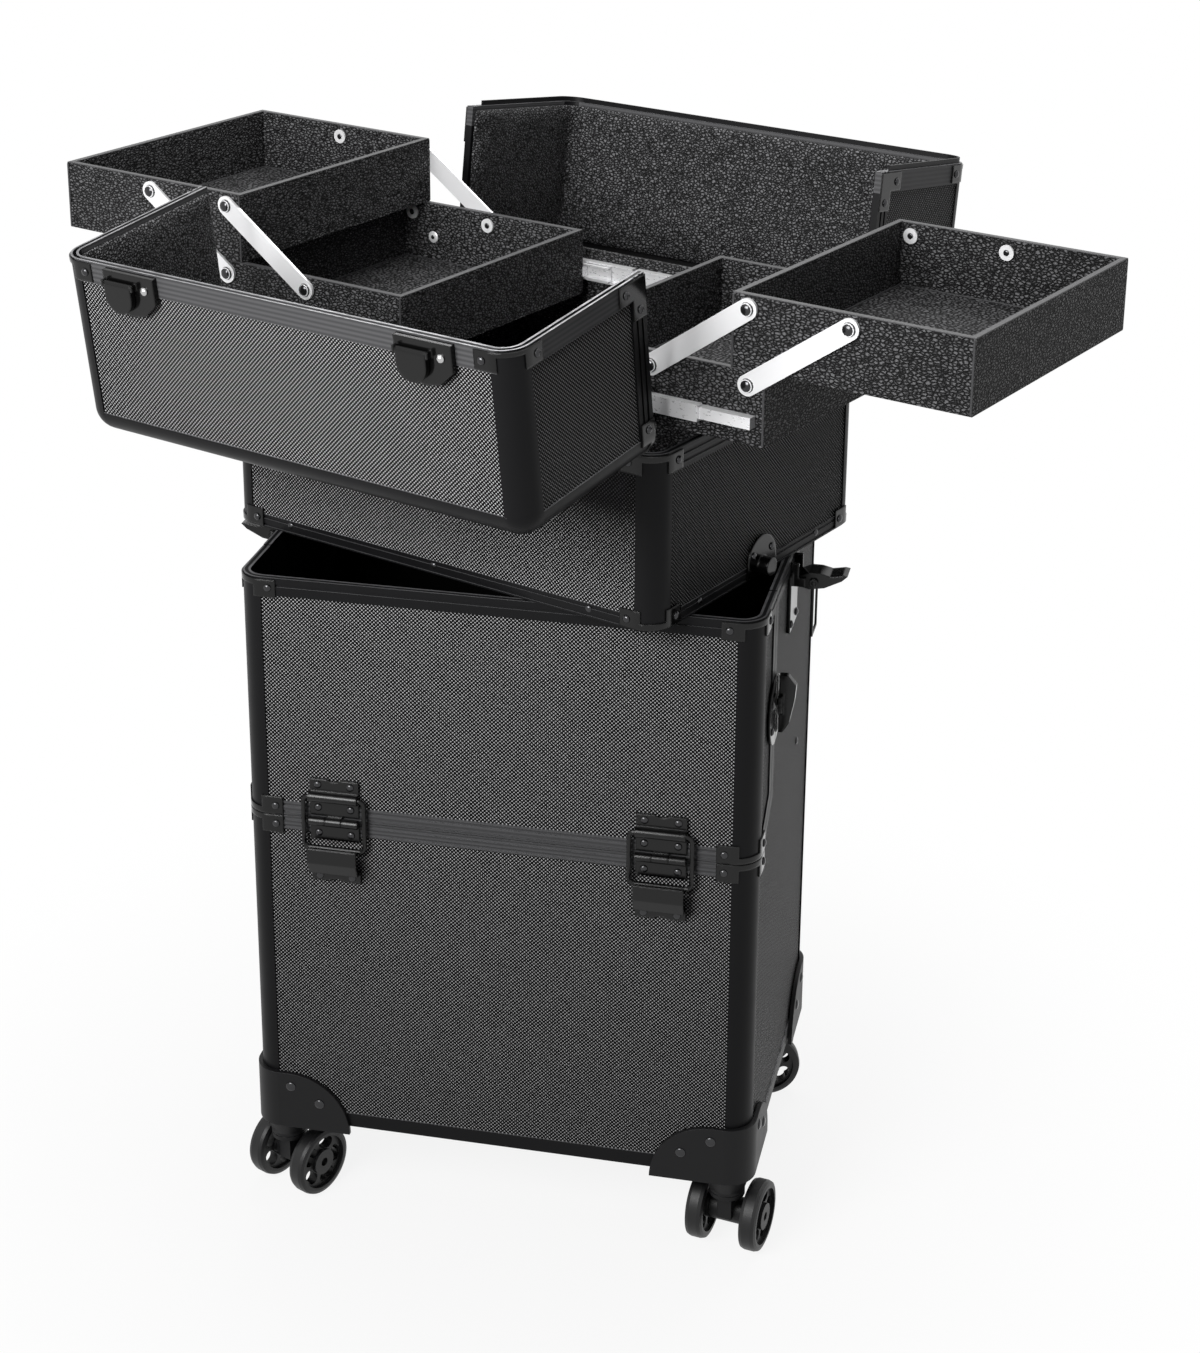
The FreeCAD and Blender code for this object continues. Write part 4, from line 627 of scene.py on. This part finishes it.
# The tray leather's pale crown colour is a painted highlight on black leather.
tray_leather = pebbled_leather("tray_leather", top_place, (0.14, 0.14, 0.144), 0.0022, pebble_long)
sides = ("left", "right")
levels = ("lower", "upper")
dress(tray_leather, "support_boards", *(f"{side}_{level}_tray" for side in sides for level in levels))

# Tray rims and corners: the covering is turned over the walls' upper edge as a narrow smooth hem, and at the
# outer corners the end wall's edge shows as an upright welt. Inside, it is creased round the tray's floor.
hem_leather = enamelled("hem_leather", (0.05, 0.05, 0.052), 0.4, 0.00006, 0.25)
tray_half_deep = 0.100
tray_long = 0.156
tray_tall = 0.045
tray_wall = 0.004
hem_proud = 0.0006
welt_wide = 0.0014
welt_short = 0.001
welt_ease = 0.0002
crease_wide = 0.0016
tray_floor = 0.004


def border(long, deep, wide, proud):
    """A flat frame with eased upper edges, its underside at height 0."""
    form = bmesh.new()
    bmesh.ops.create_grid(form, x_segments=1, y_segments=1, size=0.5)
    bmesh.ops.scale(form, vec=(long, deep, 1), verts=form.verts[:])
    inset = bmesh.ops.inset_region(form, faces=form.faces[:], thickness=wide, use_even_offset=True,
                                   use_boundary=True)
    band = inset["faces"]
    bmesh.ops.delete(form, geom=[face for face in form.faces if face not in band], context="FACES_ONLY")
    bmesh.ops.solidify(form, geom=form.faces[:], thickness=proud)
    upper = max(vert.co.z for vert in form.verts)
    shoulders = [edge for edge in form.edges
                 if all(abs(vert.co.z - upper) < 0.00001 for vert in edge.verts)
                 and len(edge.link_faces) == 2 and abs(edge.calc_face_angle(0)) > 0.5]
    bmesh.ops.bevel(form, geom=shoulders, offset=proud * 0.6, affect="EDGES", segments=2, profile=0.5,
                    material=-1)
    lowest = min(vert.co.z for vert in form.verts)
    bmesh.ops.translate(form, vec=(0, 0, -lowest), verts=form.verts[:])
    return form


for side in sides:
    for level in levels:
        low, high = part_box(f"{side}_{level}_tray")
        middle = top_place.inverted() @ ((Vector(low) + Vector(high)) / 2)
        hem = border(tray_long, tray_half_deep * 2, tray_wall, hem_proud)
        raise_hem = Matrix.Translation((middle.x, middle.y, middle.z + tray_tall / 2))
        bmesh.ops.transform(hem, verts=hem.verts[:], matrix=top_place @ raise_hem)
        for corner_x in (-1, 1):
            for corner_y in (-1, 1):
                made = bmesh.ops.create_cube(hem, size=1)
                size = Matrix.Diagonal((welt_wide, hem_proud, tray_tall - welt_short, 1))
                spot = (middle.x + corner_x * (tray_long - welt_wide) / 2,
                        middle.y + corner_y * (tray_half_deep + hem_proud / 2), middle.z)
                bmesh.ops.transform(hem, verts=made["verts"], matrix=Matrix.Translation(spot) @ size)
                edges = dict.fromkeys(edge for vert in made["verts"] for edge in vert.link_edges)
                rounded = bmesh.ops.bevel(hem, geom=list(edges), offset=welt_ease, affect="EDGES",
                                          segments=1, profile=0.5, material=-1)
                welt = {vert for face in rounded["faces"] for vert in face.verts}
                bmesh.ops.transform(hem, verts=list(welt), matrix=top_place)
        new_piece(f"{side}_{level}_tray_hem", hem, f"{side}_{level}_tray", hem_leather)
        crease = border(tray_long - 2 * tray_wall, (tray_half_deep - tray_wall) * 2, crease_wide, hem_proud)
        lower_crease = Matrix.Translation((middle.x, middle.y, middle.z - tray_tall / 2 + tray_floor))
        bmesh.ops.transform(crease, verts=crease.verts[:], matrix=top_place @ lower_crease)
        new_piece(f"{side}_{level}_tray_crease", crease, f"{side}_{level}_tray", hem_leather)


# Arms and slides: flat bars of bare aluminium carry the upper trays, and telescopic slides of rolled steel,
# a channel in a channel with a bar inside, the lower ones. Both are brushed lengthwise.
def bare_metal(name, colour, metal, rough, stretch):
    """Pale metal whose gloss varies in fine streaks along the slides."""
    material, tree, shader, coords = fresh_material(name)
    shader.inputs["Base Color"].default_value = (*colour, 1)
    shader.inputs["Metallic"].default_value = metal
    mapping = tree.nodes.new("ShaderNodeMapping")
    mapping.inputs["Rotation"].default_value = (0, 0, -top_turn)
    mapping.inputs["Scale"].default_value = stretch
    tree.links.new(coords.outputs["Object"], mapping.inputs["Vector"])
    brushing = tree.nodes.new("ShaderNodeTexNoise")
    brushing.inputs["Scale"].default_value = 1
    brushing.inputs["Detail"].default_value = 3
    tree.links.new(mapping.outputs[0], brushing.inputs["Vector"])
    gloss = spread(tree, brushing.outputs["Fac"], rough - 0.1, rough + 0.1)
    tree.links.new(gloss, shader.inputs["Roughness"])
    return material


arm_aluminium = bare_metal("arm_aluminium", (0.88, 0.88, 0.89), 0.35, 0.34, (60, 900, 900))
dress(arm_aluminium, *(f"{side}_{which}_arms" for side in sides for which in ("inner", "outer")))
slide_steel = bare_metal("slide_steel", (0.88, 0.88, 0.89), 0.45, 0.3, (30, 900, 900))
dress(slide_steel, "slide_fixed_channels",
      *(f"{side}_slide_{part}" for side in sides for part in ("bars", "channels")))

# Arm pins: each arm turns on headed steel pins through the trays' walls. A pin has a dark domed head
# outside, and inside the tray its dark end shows in the middle of a washer.
arm_face = 0.1022
eyelet_face = 0.0944
head_wide = 0.009
head_proud = 0.0026
pin_hole = 0.0042
pin_end_proud = 0.0006
for side in sides:
    for which in ("inner", "outer"):
        fold = f"{side}_arm_fold" if which == "inner" else f"{side}_outer_arm_fold"
        foot = top_place.inverted() @ joint_at[fold]
        lift = top_place.inverted() @ joint_at[f"{side}_upper_tray_level"]
        rise = lift - top_place.inverted() @ joint_at[f"{side}_arm_fold"]
        heads = []
        ends = []
        for pin in (foot, foot + rise):
            for end in (-1, 1):
                heads.append(((pin.x, end * arm_face, pin.z), (0, end, 0)))
                ends.append(((pin.x, end * eyelet_face, pin.z), (0, -end, 0)))
        body = f"{side}_{which}_arms"
        riveted(f"{body}_heads", body, top_place, heads, head_wide, head_proud)
        riveted(f"{body}_pin_ends", body, top_place, ends, pin_hole, pin_end_proud)

# Slide rivets: the lower trays hang on the slides' inner bars by a rivet through each long wall, which shows
# inside the tray as one more eyelet, lower than those of the arms.
eyelet_out = 0.049
eyelet_down = 0.0162
eyelet_wide = 0.0088
eyelet_proud = 0.0009
eyelet_end_proud = 0.0013
for side in sides:
    inner_pin = top_place.inverted() @ joint_at[f"{side}_arm_fold"]
    outward = -1 if side == "left" else 1
    spots = []
    for end in (-1, 1):
        wall_face = end * (tray_half_deep - tray_wall)
        spot = (inner_pin.x + outward * eyelet_out, wall_face, inner_pin.z - eyelet_down)
        spots.append((spot, (0, -end, 0)))
    body = f"{side}_lower_tray"
    riveted(f"{body}_eyelets", body, top_place, spots, eyelet_wide, eyelet_proud, arm_aluminium)
    riveted(f"{body}_eyelet_ends", body, top_place, spots, pin_hole, eyelet_end_proud)

# Lid linings: leather cloth over thin wadding on the lids' inner faces, wrapped round the corners and glued
# along its edges. Each is grown as a sheet, thickened, and pushed a little out of flat by its filling.
lining_thick = 0.003
lining_cell = 0.005
lining_inset = 0.008
lining_cap = 0.0024
lining_growth = 0.03
fill_pressure = 4
settle_frames = 20
lining_foot = 0.018
lining_low = 0.002
lining_short = 0.0025
quarter_turn = math.pi / 2
end_wall = top_half_wide - corner_round + lining_inset
post_middle = top_half_wide - corner_round
edge_middle = lid_height - corner_round


def edge_row(form, start, end):
    """A row of short edges between two points, listed in the same order each time."""
    ends = [form.verts.new(start), form.verts.new(end)]
    line = form.edges.new(ends)
    cuts = round((Vector(end) - Vector(start)).length / lining_cell) - 1
    made = bmesh.ops.subdivide_edges(form, edges=[line], cuts=cuts)
    inner = [item for item in made["geom_inner"] if isinstance(item, bmesh.types.BMVert)]
    return list(dict.fromkeys(edge for vert in inner for edge in vert.link_edges))


def grown_straight(form, edges, way):
    """Draw the row out into a flat sheet, one cell at a time."""
    steps = round(Vector(way).length / lining_cell)
    grown = bmesh.ops.spin(form, geom=edges, cent=(0, 0, 0), axis=(0, 0, 1), angle=0, steps=steps,
                           dvec=Vector(way) / steps)
    return [item for item in grown["geom_last"] if isinstance(item, bmesh.types.BMEdge)]


def grown_round(form, edges, middle, axis, angle):
    """Take the row round a corner; the corner's points are glued down."""
    before = set(form.verts)
    grown = bmesh.ops.spin(form, geom=edges, cent=middle, axis=axis, angle=angle, steps=3)
    creased = set(form.verts) - before
    return [item for item in grown["geom_last"] if isinstance(item, bmesh.types.BMEdge)], creased


def in_order(form):
    """Sort points, edges and faces by where they lie, so that each run simulates the same mesh."""
    def lie(vert):
        reach = max(face.calc_center_median().y for face in vert.link_faces)
        return [round(part, 4) for part in (*vert.co, reach)]

    for rank, vert in enumerate(sorted(form.verts, key=lie)):
        vert.index = rank
    form.verts.sort()
    for group in (form.edges, form.faces):
        ranked = sorted(group, key=lambda item: sorted(vert.index for vert in item.verts))
        for rank, item in enumerate(ranked):
            item.index = rank
        group.sort()


def padded_lining(name, place, split, finish):
    """One lid's lining: up one end wall, over the top and down the other, then along the lid's long wall."""
    form = bmesh.new()
    rim_edge = split - lining_short
    edges = edge_row(form, (-end_wall, lining_foot, lining_low), (-end_wall, rim_edge, lining_low))
    edges = grown_straight(form, edges, (0, 0, edge_middle - lining_low))
    edges, creased = grown_round(form, edges, (-post_middle, 0, edge_middle), (0, 1, 0), quarter_turn)
    edges = grown_straight(form, edges, (post_middle * 2, 0, 0))
    edges, more = grown_round(form, edges, (post_middle, 0, edge_middle), (0, 1, 0), quarter_turn)
    creased |= more
    grown_straight(form, edges, (0, 0, lining_low - edge_middle))
    edges = edge_row(form, (-end_wall, lining_foot, lining_low), (-end_wall, lining_foot, edge_middle))
    edges, more = grown_round(form, edges, (-post_middle, lining_foot, 0), (0, 0, 1), quarter_turn)
    creased |= more
    edges = grown_straight(form, edges, (post_middle * 2, 0, 0))
    edges, more = grown_round(form, edges, (post_middle, lining_foot, 0), (0, 0, 1), quarter_turn)
    creased |= more
    hollow = Vector((0, (lining_foot + split) / 2, edge_middle / 2))
    for face in form.faces:
        if face.normal.length == 0:
            face.normal_update()
        if (hollow - face.calc_center_median()).dot(face.normal) < 0:
            face.normal_flip()
    for vert in form.verts:
        vert.select = vert.is_boundary or vert in creased
    in_order(form)
    free = {vert for vert in form.verts if not vert.select}
    bmesh.ops.solidify(form, geom=form.faces[:], thickness=lining_thick)
    for vert in form.verts:
        vert.select = vert not in free
    in_order(form)
    glued = [vert.index for vert in form.verts if vert.select]
    bmesh.ops.transform(form, matrix=place, verts=form.verts[:])
    for face in form.faces:
        face.smooth = True
    pad = new_piece(f"{name}_lid_padding", form, f"{name}_lid", finish)
    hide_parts(f"{name}_lid_lining")
    puffed(pad, glued)
    finer = pad.modifiers.new("finer", "SUBSURF")
    finer.levels = 1
    finer.render_levels = 1
    return pad


def puffed(pad, glued):
    """Cloth under a little pressure, held where it is glued, then applied with its movement capped."""
    pad.vertex_groups.new(name="glued").add(glued, 1, "REPLACE")
    cloth = pad.modifiers.new("filling", "CLOTH")
    cloth.settings.quality = 5
    cloth.settings.mass = 0.3
    cloth.settings.tension_stiffness = 15
    cloth.settings.compression_stiffness = 15
    cloth.settings.bending_stiffness = 0.5
    cloth.settings.use_pressure = True
    cloth.settings.uniform_pressure_force = fill_pressure
    cloth.settings.shrink_min = -lining_growth
    cloth.settings.effector_weights.gravity = 0
    cloth.settings.vertex_group_mass = "glued"
    for number in range(1, settle_frames + 1):
        bpy.context.scene.frame_set(number)
    settled = pad.evaluated_get(bpy.context.evaluated_depsgraph_get()).data
    moved = [after.co - before.co for before, after in zip(pad.data.vertices, settled.vertices)]
    pad.modifiers.remove(cloth)
    for vert, way in zip(pad.data.vertices, moved):
        vert.co += way * min(1, lining_cap / max(way.length, 0.000001))
    bpy.context.scene.frame_set(1)


for name, place in lid_places.items():
    # The lining's pale crown colour is a painted highlight on black leather, and its creases are painted
    # shade.
    lining_leather = pebbled_leather(f"{name}_lining_leather", place, (0.16, 0.16, 0.165), 0.0021,
                                     (0.75, 1.1, 1.1))
    padded_lining(name, place, lid_splits[name], lining_leather)
